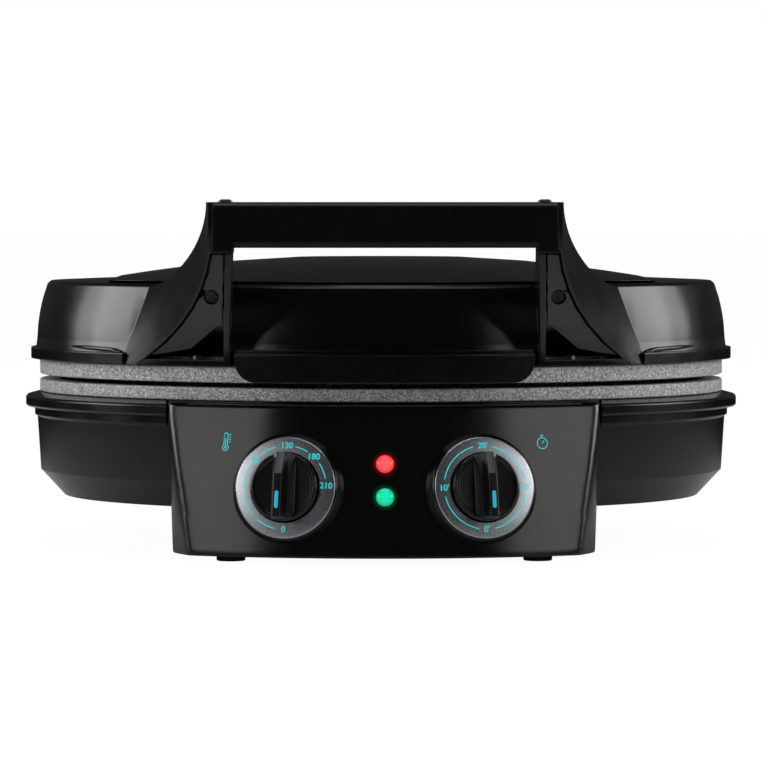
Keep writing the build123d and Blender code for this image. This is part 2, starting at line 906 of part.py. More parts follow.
lamp_depth = shell_wall + lamp_setback
save(lens(red_plane), "red_lens")
save(lens(green_plane), "green_lens")
for name, plane in (("red_lamp", red_plane), ("green_lamp", green_plane)):
    with BuildPart(plane.offset(-lamp_depth)) as lamp:
        Cylinder(lamp_radius, lamp_length, align=MAX_Z)
        with Locations((0, 0, -lamp_length)):
            Cylinder(lamp_rim_radius, lamp_rim, align=MAX_Z)
    save(lamp.part, name)
board_plane = panel_plane(0, (red_height + green_height) / 2)
board_depth = lamp_depth + lamp_length + lamp_rim + contact_gap
with BuildPart(board_plane.offset(-board_depth)) as lamp_board:
    Box(board_width, board_height, board_thickness, align=MAX_Z)
save(lamp_board.part, "lamp_board")


# Rear housing: carries the hinge and lets the cord in


def rear_block(inset):
    """The rear housing's outer form, with its sides drawn in."""
    with BuildPart() as block:
        with BuildSketch(Plane.XY.offset(housing_low)):
            with Locations((0, (rear_inner + rear_face) / 2)):
                RectangleRounded(
                    2 * (rear_half_width - inset), rear_face - rear_inner - 2 * inset,
                    rear_corner - inset,
                )
        extrude(amount=step_low - side_gap - housing_low - inset)
    return block.part


lug_spots = [
    side * (arm_offset + end * (arm_width / 2 + lug_gap + lug_width / 2))
    for side in (-1, 1)
    for end in (-1, 1)
]
rear_post_y = rear_foot_y - 32.0
rear_post_spots = [
    (side * (rear_half_width - shell_wall - post_inset), rear_post_y) for side in (-1, 1)
] + [(side * middle_post_x, rear_face - shell_wall - post_inset) for side in (-1, 1)]
lug_front = hinge_y - knuckle_radius
lug_depth = 2 * knuckle_radius

with BuildPart() as rear_housing:
    add(rear_block(0))
    add(rear_block(shell_wall), mode=Mode.SUBTRACT)
    posts(rear_post_spots)
    with BuildSketch(Plane.XZ):
        with BuildLine():
            Polyline(
                (0, tub_bottom - side_gap),
                *tub_side(side_gap),
                (0, step_low),
                close=True,
            )
        make_face()
    revolve(axis=Axis.Z, mode=Mode.SUBTRACT)
    # hinge lugs stand on the roof, in pairs
    for x in lug_spots:
        with BuildSketch(Plane.YZ.offset(x - lug_width / 2)):
            with Locations((hinge_y, (step_low - cut_past + hinge_height) / 2)):
                Rectangle(lug_depth, hinge_height - step_low + cut_past)
            with Locations((hinge_y, hinge_height)):
                Circle(knuckle_radius)
                Circle(pin_radius + press_gap, mode=Mode.SUBTRACT)
        extrude(amount=lug_width)
    with BuildSketch(Plane.XZ.offset(-rear_face)):
        with Locations((inlet_x, inlet_height)):
            Circle(inlet_radius + contact_gap)
    extrude(amount=2 * shell_wall, mode=Mode.SUBTRACT)
save(rear_housing.part, "rear_housing")
save(
    bottom_cover(rear_block(shell_wall + side_gap), rear_foot_spots, rear_post_spots),
    "rear_cover",
)

# Cord inlet: a rubber bushing through the rear wall, with a flange on each side of it
inlet_flange = 1.5
inlet_flange_width = 3.2
inlet_collar = 3.0
inlet_collar_width = 1.6
inlet_plane = Plane(origin=(inlet_x, rear_face + contact_gap, inlet_height), z_dir=(0, 1, 0))
with BuildPart(inlet_plane) as cord_inlet:
    Cylinder(inlet_radius + inlet_flange_width, inlet_flange, align=MIN_Z)
    Cylinder(inlet_radius, shell_wall + 2 * contact_gap, align=MAX_Z)
    with Locations((0, 0, -shell_wall - 2 * contact_gap)):
        Cylinder(inlet_radius + inlet_collar_width, inlet_collar, align=MAX_Z)
    Cylinder(inlet_bore, 8 * inlet_collar, mode=Mode.SUBTRACT)
save(cord_inlet.part, "cord_inlet")

# Terminal block on the inside of the rear wall, where the supply cord's wires end
block_width, block_deep, block_high = 36.0, 14.0, 12.0
block_level = 34.0
terminal_spacing = 12.0
terminal_radius = 2.4
terminal_depth = 4.0
with BuildPart() as terminal_block:
    with Locations((0, rear_face - shell_wall - contact_gap, block_level)):
        Box(block_width, block_deep, block_high, align=(Align.CENTER, Align.MAX, Align.CENTER))
        for place in (-1, 0, 1):
            with Locations((place * terminal_spacing, -block_deep / 2, block_high / 2)):
                Cylinder(terminal_radius, terminal_depth, align=MAX_Z, mode=Mode.SUBTRACT)
save(terminal_block.part, "terminal_block")

# Feet: rubber buttons with a stem and a barb through the cover
foot_barb = 1.8
foot_barb_width = 0.8
foot_round = 0.8
cover_screw_length = 14.0


def feet(spots):
    """A pair of pressed-in feet."""
    with BuildPart() as pair:
        with Locations(*[(x, y, 0) for x, y in spots]):
            Cylinder(foot_radius, foot_height - contact_gap, align=MIN_Z)
            Cylinder(
                foot_stem_radius, foot_height + cover_thickness + foot_barb, align=MIN_Z
            )
            with Locations((0, 0, foot_height + cover_thickness + contact_gap)):
                Cylinder(foot_stem_radius + foot_barb_width, foot_barb, align=MIN_Z)
        bottom = pair.edges().group_by(Axis.Z)[0]
        fillet(bottom, foot_round)
    return pair.part


save(feet(front_foot_spots), "front_feet")
save(feet(rear_foot_spots), "rear_feet")
cover_screw_planes = [
    Plane(origin=(x, y, housing_low + small_head_height), z_dir=(0, 0, -1))
    for x, y in post_spots + rear_post_spots
]
save(
    screws(
        cover_screw_planes, small_head_radius, small_head_height, small_screw_radius,
        cover_screw_length,
    ),
    "cover_screws",
)

# Hinge pins: two steel pins, each through two lugs and one arm
pin_length = arm_width + 2 * lug_gap + 2 * lug_width
pin_planes = [
    Plane(origin=(side * arm_offset, hinge_y, hinge_height), z_dir=(1, 0, 0)) for side in (-1, 1)
]
with BuildPart(*pin_planes) as hinge_pins:
    Cylinder(pin_radius, pin_length)
save(hinge_pins.part, "hinge_pins")


# Lid shell: a shallow drum with a collar, a raised crown and two swept handle brackets


def lid_side(inset):
    """The lid's outer side from its collar's top to its margin, moved in by a distance."""
    middle = (lid_wall_low + lid_wall_high) / 2
    middle_radius = (lid_wall_radius + lid_top_radius) / 2 + lid_wall_bulge
    return [
        (lid_wall_radius - inset, lid_wall_low),
        (middle_radius - inset, middle),
        (lid_top_radius - inset, lid_wall_high),
    ]


def lid_drum(inset, low, low_radius):
    """A solid of revolution inside the lid's side and under its margin."""
    low_side, middle, high_side = lid_side(inset)
    margin = (lid_margin_radius - inset, lid_margin_low - inset)
    centre = (0, lid_margin_low - inset + lid_margin_slope * margin_run)
    inner_margin = (lid_margin_radius - margin_run, centre[1])
    with BuildPart() as drum:
        with BuildSketch(Plane.XZ):
            with BuildLine():
                Line((0, low), (low_radius, low))
                Line((low_radius, low), low_side)
                ThreePointArc(low_side, middle, high_side)
                Line(high_side, margin)
                Line(margin, inner_margin)
                Line(inner_margin, centre)
                Line(centre, (0, low))
            make_face()
        revolve(axis=Axis.Z)
    return drum.part


def crown_outline(share):
    """Half width, corner Y, reach and rise of the crown's outline, from its foot (0) to its top."""
    half_width = crown_half_width + share * (plateau_half_width - crown_half_width)
    reach = crown_reach + share * (plateau_reach - crown_reach)
    corner_foot = -front_y(crown_reach, crown_half_width)
    corner = corner_foot + share * (plateau_side - corner_foot)
    rise = crown_rise * (1 - (1 - share) ** crown_fullness)
    return half_width, corner, reach, rise


def crown(drop):
    """The raised middle of the lid, lofted from its foot to the plateau."""
    foot = lid_margin_low + lid_margin_slope * (lid_margin_radius - crown_half_width)
    with BuildPart() as body:
        for share in crown_shares:
            half_width, corner, reach, rise = crown_outline(share)
            with BuildSketch(Plane.XY.offset(foot + rise - drop)):
                with BuildLine():
                    left_front = (-half_width, -corner)
                    right_front = (half_width, -corner)
                    right_back = (half_width, corner)
                    left_back = (-half_width, corner)
                    ThreePointArc(left_front, (0, -reach), right_front)
                    Line(right_front, right_back)
                    ThreePointArc(right_back, (0, reach), left_back)
                    Line(left_back, left_front)
                make_face()
        loft(ruled=True)
    return body.part


def bracket_bend(z):
    """One at the lid's foot, falling to nothing where the bracket stands upright."""
    return max(0.0, 1 - (z - lid_low) / bracket_bend_height)


def bracket_corners(z):
    """Plan corners of the right-hand bracket at a height, and how far its flank is hollowed."""
    bend = bracket_bend(z)
    front = Vector(
        bracket_tip_x + bracket_spread * bend**bracket_spread_power,
        bracket_tip_y + bracket_sweep * bend**bracket_sweep_power,
    )
    inner_x = leg_inner_high + (leg_inner_low - leg_inner_high) * bend
    inner_front = Vector(inner_x, leg_front_y + leg_front_sweep * bend**2)
    flare = bracket_flare * bracket_bend(min(z, lid_wall_high)) ** bracket_flare_power
    turn = radians(bracket_angle + flare)
    root = Vector(lid_top_radius * sin(turn), -lid_top_radius * cos(turn))
    heading = Vector(-cos(turn), -sin(turn))
    if z <= lid_wall_high:
        share = (z - lid_wall_low) / lid_wall_height
        radius = lid_wall_radius - lid_taper * share**2 if share > 0 else lid_wall_radius
        back = root * ((radius - bracket_root) / lid_top_radius)
        inner_back = Vector(inner_x, root.Y)
    else:
        rest = max(0.0, (bar_high - z) / (bar_high - lid_wall_high))
        follow = bracket_back_mix * rest**2 + (1 - bracket_back_mix) * (1 - sqrt(1 - rest**2))
        tip = Vector(bracket_back_x, bracket_back_y)
        back = tip + (root - tip) * follow
        inner_back = Vector(inner_x, leg_back_y + (root.Y - leg_back_y) * follow)
    chord = front - back
    angle = radians(heading.get_angle(chord)) * bracket_hollow
    return back, front, inner_front, inner_back, 0.5 * chord.length * tan(angle / 2)


def bracket_section(z, side):
    """The bracket's outline at a height, as a face."""
    back, front, inner_front, inner_back, sagitta = bracket_corners(z)
    along = (front - back).normalized()
    middle = (front + back) * 0.5 + Vector(along.Y, -along.X) * sagitta
    corners = [(side * p.X, p.Y) for p in (back, middle, front, inner_front, inner_back)]
    with BuildSketch(Plane.XY.offset(z)) as outline:
        with BuildLine():
            ThreePointArc(*corners[:3])
            Polyline(*corners[2:], corners[0])
        make_face()
    return outline.sketch


def bracket(side):
    """A handle bracket: its lower part grows out of the lid's side, its upper part stands free."""
    lower = [lid_low + rise for rise in bracket_rises] + [lid_wall_high]
    free_height = bar_high - lid_wall_high
    upper = [lid_wall_high + free_height * share for share in bracket_shares]
    with BuildPart() as body:
        loft(sections=[bracket_section(z, side) for z in lower])
        loft(sections=[bracket_section(z, side) for z in upper])
    return body.part


def front_slab(side, low, high, outer_margin, inner_margin, near, far):
    """A slab that follows the bracket's front, between two distances behind that front."""
    levels = [low + (high - low) * step / slab_steps for step in range(slab_steps + 1)]
    with BuildPart() as slab:
        for z in levels:
            _, front, inner_front, _, _ = bracket_corners(z)
            along = (inner_front - front).normalized()
            outer = front + along * outer_margin
            inner = inner_front - along * inner_margin
            corners = [
                point + Vector(0, depth)
                for depth, pair in ((near, (outer, inner)), (far, (inner, outer)))
                for point in pair
            ]
            with BuildSketch(Plane.XY.offset(z)):
                with BuildLine():
                    Polyline(*[(side * p.X, p.Y) for p in corners], close=True)
                make_face()
        loft(ruled=True)
    return slab.part


pocket_low = lid_low + lid_floor
pocket_high = bar_block_low - side_gap
pocket_inner_radius = rim_screw_circle - small_head_radius - side_gap - contact_gap
pocket_ahead = 8.0
core_height = 90.0
insert_screw_x = 80.5
insert_screw_height = lid_low + 33.0
insert_hole_radius = 3.5
insert_post_radius = 3.4
insert_post_depth = 14.0
insert_post_y = bracket_corners(insert_screw_height)[2].Y + insert_post_depth
insert_post_length = 10.0
seat_inset = 0.5
arm_screw_length = 11.0
insert_screw_spots = [(side * insert_screw_x, insert_screw_height) for side in (-1, 1)]
arm_screw_spots = [
    (side * arm_offset, lid_low + rise) for side in (-1, 1) for rise in arm_screw_rises
]
collar_end_x = 124.0


def lid_hollow():
    """The space inside the lid, with walls left round the brackets' pockets."""
    reach = pocket_depth + shell_wall
    with BuildPart() as space:
        add(lid_drum(shell_wall, lid_low + lid_floor, lid_wall_radius - shell_wall))
        add(crown(shell_wall))
        for side in (-1, 1):
            walls = front_slab(
                side, pocket_low - cut_past, pocket_high + cut_past, blade - shell_wall,
                leg_rib - shell_wall, -pocket_ahead, reach,
            )
            core = Pos(0, 0, lid_low) * Cylinder(
                pocket_inner_radius - shell_wall, core_height, align=MIN_Z, mode=Mode.PRIVATE
            )
            add(walls - core, mode=Mode.SUBTRACT)
    return space.part


def bracket_pocket(side):
    """The hollow in a bracket's front; it stays clear of the drum's inside."""
    slab = front_slab(side, pocket_low, pocket_high, blade, leg_rib, -pocket_ahead, pocket_depth)
    core = Pos(0, 0, lid_low) * Cylinder(
        pocket_inner_radius, core_height, align=MIN_Z, mode=Mode.PRIVATE
    )
    return slab - core


with BuildPart() as lid_shell:
    add(lid_drum(0, lid_low, lid_flare_radius))
    # the collar runs round the sides and the back, and ends beside the brackets
    with BuildSketch(Plane.XY.offset(lid_low)):
        Circle(lid_collar_radius)
        with Locations((0, -lid_collar_radius)):
            Rectangle(2 * collar_end_x, lid_collar_radius, mode=Mode.SUBTRACT)
    extrude(amount=lid_collar_height)
    add(crown(0))
    for side in (-1, 1):
        add(bracket(side))
    add(lid_hollow(), mode=Mode.SUBTRACT)
    with BuildSketch(Plane.XY.offset(lid_low)):
        Circle(seat_inner - seat_inset)
    extrude(amount=lid_floor + cut_past, mode=Mode.SUBTRACT)
    for side in (-1, 1):
        add(bracket_pocket(side), mode=Mode.SUBTRACT)
    # a post for a screw stands at the back of each pocket
    with BuildSketch(Plane.XZ.offset(-insert_post_y)):
        with Locations(*insert_screw_spots):
            Circle(insert_post_radius)
    extrude(amount=-insert_post_length)
    # slot for the bar's ends, between the brackets' blades
    with BuildSketch(Plane.XY.offset(pocket_high)):
        with Locations((0, bar_front + bar_depth / 2)):
            Rectangle(2 * (bar_half_length + side_gap), 2 * bar_depth)
    extrude(amount=bar_high - pocket_high + cut_past, mode=Mode.SUBTRACT)
    # screw holes: posts, rim screws, hinge arms
    with BuildSketch(Plane.XZ.offset(-insert_post_y)):
        with Locations(*insert_screw_spots):
            Circle(small_screw_radius + thread_gap)
    extrude(amount=screw_end_gap - insert_post_length, mode=Mode.SUBTRACT)
    with BuildSketch(Plane.XY.offset(lid_low)):
        with Locations(*rim_screw_spots):
            Circle(small_screw_radius + side_gap)
    extrude(amount=lid_floor, mode=Mode.SUBTRACT)
    with BuildSketch(Plane.XZ):
        with Locations(*arm_screw_spots):
            Circle(small_screw_radius + thread_gap)
    extrude(amount=-beyond, mode=Mode.SUBTRACT)
save(lid_shell.part, "lid_shell")


# Lid pieces


def insert(side):
    """The satin plate that closes a bracket's pocket; its lower edge slants up to the leg."""
    top = pocket_high - contact_gap
    slab = front_slab(
        side, pocket_low, top, blade + insert_gap, leg_rib + side_gap,
        insert_recess, insert_recess + insert_thickness,
    )
    with BuildPart() as body:
        add(slab)
        with BuildSketch(Plane.XZ):
            Polygon(*[(side * x, lid_low + rise) for x, rise in insert_outline], align=None)
        extrude(amount=beyond, mode=Mode.INTERSECT)
        with BuildSketch(Plane.XZ):
            with Locations((side * insert_screw_x, insert_screw_height)):
                Circle(insert_hole_radius)
        extrude(amount=beyond, mode=Mode.SUBTRACT)
    return body.part


insert_outline = [(60, 70), (60, 21), (77, 19.1), (90.5, 7.8), (103, 5.2), (130, 4), (130, 70)]
save(insert(-1), "left_insert")
save(insert(1), "right_insert")

insert_screw_planes = [
    Plane(
        origin=(side * insert_screw_x, insert_post_y - contact_gap, insert_screw_height),
        x_dir=(1, 0, 0), z_dir=(0, -1, 0),
    )
    for side in (-1, 1)
]
save(
    screws(
        insert_screw_planes, small_head_radius, small_head_height, small_screw_radius,
        insert_post_length - 2 * screw_end_gap,
    ),
    "insert_screws",
)
rim_screw_planes = [
    Plane(origin=(x, y, lid_low + lid_floor + contact_gap)) for x, y in rim_screw_spots
]
save(
    screws(
        rim_screw_planes, small_head_radius, small_head_height, small_screw_radius,
        lid_floor + rim_hole_depth - screw_end_gap,
    ),
    "rim_screws",
)

# Front lip: a tongue that hangs from the lid's foot over the upper plate's rim
lip_low = upper_face + lip_edge
lip_high = lip_low + lip_height
lip_radius = plate_radius + lip_overhang
lip_inner = lid_flare_radius + side_gap
with BuildPart() as front_lip:
    with BuildSketch(Plane.XZ):
        Polygon(
            (lip_radius - lip_wall, lip_low),
            (lip_radius, lip_low),
            (lip_radius, lip_high),
            (lip_radius - lip_step_width, lip_high),
            (lip_radius - lip_step_width, lip_high + lip_step_height),
            (lip_inner, lip_high + lip_step_height),
            (lip_inner, lip_high - lip_wall),
            (lip_radius - lip_wall, lip_high - lip_wall),
            align=None,
        )
    revolve(axis=Axis.Z)
    with BuildSketch(Plane.XZ):
        with Locations((0, lip_low)):
            RectangleRounded(
                2 * lip_half_width, 2 * lip_height, lip_corner,
                align=(Align.CENTER, Align.MIN),
            )
    extrude(amount=beyond, mode=Mode.INTERSECT)
save(front_lip.part, "front_lip")

# Handle bar: a hollow bar between the brackets' blades, with a cover let into its underside
bar_middle = bar_front + bar_depth / 2
grip_half = leg_inner_high
slot_half = grip_half - 2.0
slot_depth = bar_depth - 2 * bar_wall - cut_past
bumper_hole = 8.0
with BuildPart() as handle_bar:
    with BuildSketch(Plane.YZ.offset(-bar_half_length)):
        with Locations((bar_middle, (bar_low + bar_high) / 2)):
            Rectangle(bar_depth, bar_height)
        fillet(vertices().group_by(Axis.Y)[-1], bar_round)
        chamfer(vertices().group_by(Axis.Y)[0], bar_chamfer)
    extrude(amount=2 * bar_half_length)
    with BuildSketch(Plane.XY.offset(bar_block_low)):
        for side in (-1, 1):
            with Locations((side * (bar_half_length + grip_half) / 2, bar_middle)):
                Rectangle(bar_half_length - grip_half, bar_depth)
    extrude(amount=bar_block_drop + bar_chamfer)
    with BuildSketch(Plane.XY.offset(bar_low)):
        with Locations((0, bar_middle)):
            Rectangle(2 * slot_half, slot_depth)
    extrude(amount=bar_height - bar_wall, mode=Mode.SUBTRACT)
    with Locations((-bumper_x, bumper_y, bar_high), (bumper_x, bumper_y, bar_high)):
        Cylinder(foot_stem_radius, bumper_hole, align=MAX_Z, mode=Mode.SUBTRACT)
save(handle_bar.part, "handle_bar")

with BuildPart() as handle_cover:
    with BuildSketch(Plane.XY.offset(bar_low + side_gap + contact_gap)):
        with Locations((0, bar_middle)):
            Rectangle(2 * (slot_half - side_gap), slot_depth - 2 * side_gap)
    extrude(amount=bar_wall)
save(handle_cover.part, "handle_cover")

# Bumpers: rubber buttons that the lid rests on when it is folded flat behind the base
with BuildPart() as lid_bumpers:
    with Locations((-bumper_x, bumper_y, bar_high), (bumper_x, bumper_y, bar_high)):
        with Locations((0, 0, contact_gap)):
            Cylinder(foot_stem_radius - contact_gap, bumper_hole - cut_past, align=MAX_Z)
            Cone(bumper_radius, bumper_top_radius, bumper_rise - contact_gap, align=MIN_Z)
save(lid_bumpers.part, "lid_bumpers")

# Hinge arms: brackets on the lid's back, each with a knuckle between two lugs
arm_outline = [
    (hinge_y, hinge_height - knuckle_radius),
    (hinge_y - arm_heel_reach, lid_low - arm_heel_drop),
    (plate_radius - arm_inset, lid_low + arm_foot_rise),
    (plate_radius - arm_inset, lid_low + arm_top_rise),
    (plate_radius + arm_top_overhang, lid_low + arm_top_rise),
    (plate_radius + arm_shoulder_overhang, lid_low + arm_shoulder_rise),
    (hinge_y - arm_throat_reach, lid_low + arm_throat_rise),
    (hinge_y, hinge_height + knuckle_radius),
]
arm_spots = [side * arm_offset for side in (-1, 1)]
with BuildPart() as hinge_arms:
    for x in arm_spots:
        with BuildSketch(Plane.YZ.offset(x - arm_width / 2)):
            Polygon(*arm_outline, align=None)
            with Locations((hinge_y, hinge_height)):
                Circle(knuckle_radius)
                Circle(pin_radius + shaft_gap, mode=Mode.SUBTRACT)
        extrude(amount=arm_width)
    low_side, middle_side, high_side = lid_side(-side_gap)
    with BuildSketch(Plane.XZ):
        with BuildLine():
            Polyline(
                low_side,
                (lid_collar_radius + side_gap, lid_collar_high + side_gap),
                (lid_collar_radius + side_gap, 0),
                (0, 0),
                (0, lid_margin_low + 9),
                (high_side[0], lid_margin_low + 9),
                high_side,
            )
            ThreePointArc(high_side, middle_side, low_side)
        make_face()
    revolve(axis=Axis.Z, mode=Mode.SUBTRACT)
    with BuildSketch(Plane.XZ):
        with Locations(*arm_screw_spots):
            Circle(small_screw_radius + side_gap)
    extrude(amount=-beyond, mode=Mode.SUBTRACT)
    with BuildSketch(Plane.XZ.offset(-arm_seat_y)):
        with Locations(*arm_screw_spots):
            Circle(small_head_radius + side_gap)
    extrude(amount=-beyond, mode=Mode.SUBTRACT)
save(hinge_arms.part, "hinge_arms")
arm_screw_planes = [
    Plane(origin=(x, arm_seat_y + contact_gap, z), x_dir=(1, 0, 0), z_dir=(0, 1, 0))
    for x, z in arm_screw_spots
]
save(
    screws(
        arm_screw_planes, small_head_radius, small_head_height, small_screw_radius,
        arm_screw_length,
    ),
    "hinge_arm_screws",
)
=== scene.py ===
from math import asin, atan2, cos, exp, log, pi, radians, sin, sqrt

import bmesh
import bpy
from mathutils import Matrix, Vector


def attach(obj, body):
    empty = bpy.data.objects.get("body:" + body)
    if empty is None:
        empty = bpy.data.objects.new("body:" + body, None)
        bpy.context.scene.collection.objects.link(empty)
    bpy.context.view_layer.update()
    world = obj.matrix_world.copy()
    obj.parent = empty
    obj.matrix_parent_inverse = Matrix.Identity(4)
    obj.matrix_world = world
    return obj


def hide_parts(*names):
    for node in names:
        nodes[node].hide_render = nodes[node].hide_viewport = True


# An electric pizza maker: a round countertop cooker with a hinged lid, two knobs and two
# lamps, +Z up, with its control panel toward -Y. The studio's sizes are in metres, and
# those of the pieces and of their finishes are in millimetres.
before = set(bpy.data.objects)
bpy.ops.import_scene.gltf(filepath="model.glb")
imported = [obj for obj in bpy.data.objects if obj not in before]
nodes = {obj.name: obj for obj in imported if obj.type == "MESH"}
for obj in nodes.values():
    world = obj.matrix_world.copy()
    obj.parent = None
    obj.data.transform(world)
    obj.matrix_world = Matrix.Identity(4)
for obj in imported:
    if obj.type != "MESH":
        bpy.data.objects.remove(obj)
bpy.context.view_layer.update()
mm = 0.001


# Studio: a white floor that runs out to a white horizon, with soft lamps on both sides and
# above. The gloss black shells mirror the lamps, and the room itself stays dark in them.
def linear(hex_colour):
    """An sRGB colour such as "1a1a1b", as linear red, green, blue and alpha."""
    parts = [int(hex_colour[i : i + 2], 16) / 255 for i in (0, 2, 4)]
    return [c / 12.92 if c <= 0.04045 else ((c + 0.055) / 1.055) ** 2.4 for c in parts] + [1]


def add_node(tree, kind, settings=None, **sockets):
    """Add a shader node. A socket is given by its name, with _ for a space, or by _ and its number."""
    made = tree.nodes.new(kind)
    for name, value in (settings or {}).items():
        setattr(made, name, value)
    for name, value in sockets.items():
        socket = made.inputs[int(name[1:]) if name[0] == "_" else name.replace("_", " ")]
        if isinstance(value, bpy.types.NodeSocket):
            tree.links.new(value, socket)
        else:
            socket.default_value = value
    return made


def empty_tree(owner):
    """The owner's node tree, cleared."""
    owner.use_nodes = True
    owner.node_tree.nodes.clear()
    return owner.node_tree


def facing(place, target):
    """The turn that points a camera or a lamp at a target."""
    return (Vector(target) - Vector(place)).to_track_quat("-Z", "Y").to_euler()


camera = bpy.data.objects.new("camera", bpy.data.cameras.new("camera"))
camera.data.lens = 241.2
camera.data.sensor_width = 36
camera.data.clip_end = 50
camera.location = (-0.0258, -2.55, 0.1659)
camera.rotation_euler = facing(camera.location, (0, 0, 0.0789))
bpy.context.scene.collection.objects.link(camera)
bpy.context.scene.camera = camera
bpy.context.scene.view_settings.view_transform = "Standard"

# The room is white to the eye and lights everything evenly. In a reflection it looks dark,
# a little less so behind the object.
studio = bpy.data.worlds.new("studio")
bpy.context.scene.world = studio
tree = empty_tree(studio)
rays = add_node(tree, "ShaderNodeLightPath")
seen = add_node(
    tree, "ShaderNodeMath", {"operation": "MAXIMUM"},
    _0=rays.outputs["Is Camera Ray"], _1=rays.outputs["Is Transmission Ray"],
)
direction = add_node(
    tree, "ShaderNodeSeparateXYZ", _0=add_node(tree, "ShaderNodeTexCoord").outputs["Generated"]
)
reflected = add_node(
    tree, "ShaderNodeMapRange", {"interpolation_type": "SMOOTHSTEP"},
    Value=direction.outputs["Y"], From_Min=-0.4, From_Max=0.6, To_Min=0.008, To_Max=0.036,
)
unseen = add_node(
    tree, "ShaderNodeMix", {"data_type": "FLOAT"},
    Factor=rays.outputs["Is Glossy Ray"], _2=0.5, _3=reflected.outputs[0],
)
strength = add_node(
    tree, "ShaderNodeMix", {"data_type": "FLOAT"},
    Factor=seen.outputs[0], _2=unseen.outputs[0], _3=1.0,
)
background = add_node(tree, "ShaderNodeBackground", Color=(1, 1, 1, 1), Strength=strength.outputs[0])
add_node(tree, "ShaderNodeOutputWorld", Surface=background.outputs[0])


def softbox(name, place, target, width, height, power):
    """A soft lamp that faces a point."""
    lamp = bpy.data.lights.new(name, "AREA")
    lamp.shape = "RECTANGLE"
    lamp.size = width
    lamp.size_y = height
    lamp.energy = power
    stand = bpy.data.objects.new(name, lamp)
    stand.location = place
    stand.rotation_euler = facing(place, target)
    bpy.context.scene.collection.objects.link(stand)


def around(angle):
    """The place of a side lamp, at an angle round from the front."""
    distance, height = 1.4, 0.5
    return (distance * sin(radians(angle)), -distance * cos(radians(angle)), height)


# two lamps stand at each side and one in front of each corner, and one hangs above
middle = (0, 0, 0.1)
for side, name in ((-1, "left"), (1, "right")):
    softbox(f"key_lamp_{name}", around(side * 97), middle, 0.5, 0.75, 5.6)
    softbox(f"edge_lamp_{name}", around(side * 112.5), middle, 0.28, 0.75, 1.6)
    softbox(f"front_lamp_{name}", (side * 1.35, -0.95, 0.53), (0, 0, 0.05), 1.1, 0.56, 3.4)
softbox("top_lamp", (0, -0.5, 2.0), middle, 1.6, 1.0, 16)

# The floor is plain paper that glows a little toward the camera, and keeps the shadow. A
# reflection shows only the part of it that is close to the object.
floor_half = 30
floor = bpy.data.objects.new("floor", bpy.data.meshes.new("floor"))
corners = [(x * floor_half, y * floor_half, 0) for x, y in ((-1, -1), (1, -1), (1, 1), (-1, 1))]
floor.data.from_pydata(corners, [], [(0, 1, 2, 3)])
bpy.context.scene.collection.objects.link(floor)
white_floor = bpy.data.materials.new("white_paper_floor")
tree = empty_tree(white_floor)
rays = add_node(tree, "ShaderNodeLightPath")
away = add_node(
    tree, "ShaderNodeVectorMath", {"operation": "LENGTH"},
    _0=add_node(tree, "ShaderNodeTexCoord").outputs["Object"],
)
near = add_node(
    tree, "ShaderNodeMapRange", {"interpolation_type": "SMOOTHSTEP"},
    Value=away.outputs["Value"], From_Min=0.25, From_Max=0.9, To_Min=0.25, To_Max=0.98,
)
hidden = add_node(
    tree, "ShaderNodeMath", {"operation": "MULTIPLY"},
    _0=near.outputs[0], _1=rays.outputs["Is Glossy Ray"],
)
paper = add_node(tree, "ShaderNodeBsdfDiffuse", Color=linear("c4c4c4"))
dark = add_node(tree, "ShaderNodeBsdfDiffuse", Color=(0, 0, 0, 1))
seen_paper = add_node(
    tree, "ShaderNodeMixShader", _0=hidden.outputs[0], _1=paper.outputs[0], _2=dark.outputs[0]
)
glow = add_node(tree, "ShaderNodeEmission", Color=(1, 1, 1, 1), Strength=1.07)
share = add_node(
    tree, "ShaderNodeMath", {"operation": "MULTIPLY"}, _0=rays.outputs["Is Camera Ray"], _1=0.9
)
both = add_node(
    tree, "ShaderNodeMixShader", _0=share.outputs[0], _1=seen_paper.outputs[0], _2=glow.outputs[0]
)
add_node(tree, "ShaderNodeOutputMaterial", Surface=both.outputs[0])
floor.data.materials.append(white_floor)


# Lower housing: a tub of gloss black ABS, injection moulded. Light runs along its edges,
# and its surface has the faint ripple of a moulding.
def plastic(name, colour, roughness, ripple, ripple_size, edge, ior=1.5, glow=0.0):
    """A moulded plastic, with an optional painted glow in its own colour. The ripple's height and size and
    the edge's radius are in millimetres.
    """
    mottle_size, uneven = 30, 0.04
    made = bpy.data.materials.new(name)
    tree = empty_tree(made)
    place = add_node(tree, "ShaderNodeTexCoord").outputs["Object"]
    mottle = add_node(
        tree, "ShaderNodeTexNoise", Vector=place, Scale=1 / (mottle_size * mm), Detail=3.0, Roughness=0.6
    )
    shade = add_node(
        tree, "ShaderNodeMix", {"data_type": "RGBA"}, Factor=mottle.outputs["Fac"],
        _6=linear(colour), _7=[min(1, c * 1.35) for c in linear(colour)],
    )
    gloss = add_node(
        tree, "ShaderNodeMapRange", Value=mottle.outputs["Fac"], From_Min=0.3, From_Max=0.7,
        To_Min=roughness - uneven, To_Max=roughness + uneven,
    )
    grain = add_node(
        tree, "ShaderNodeTexNoise", Vector=place, Scale=1 / (ripple_size * mm), Detail=2.0
    )
    eased_edge = add_node(tree, "ShaderNodeBevel", {"samples": 6}, Radius=edge * mm)
    surface = add_node(
        tree, "ShaderNodeBump", Height=grain.outputs["Fac"], Strength=1.0, Distance=ripple * mm,
        Normal=eased_edge.outputs[0],
    )
    skin = add_node(
        tree, "ShaderNodeBsdfPrincipled", Base_Color=shade.outputs[2],
        Roughness=gloss.outputs[0], IOR=ior, Normal=surface.outputs[0],
        Emission_Color=shade.outputs[2], Emission_Strength=glow,
    )
    add_node(tree, "ShaderNodeOutputMaterial", Surface=skin.outputs[0])
    return made


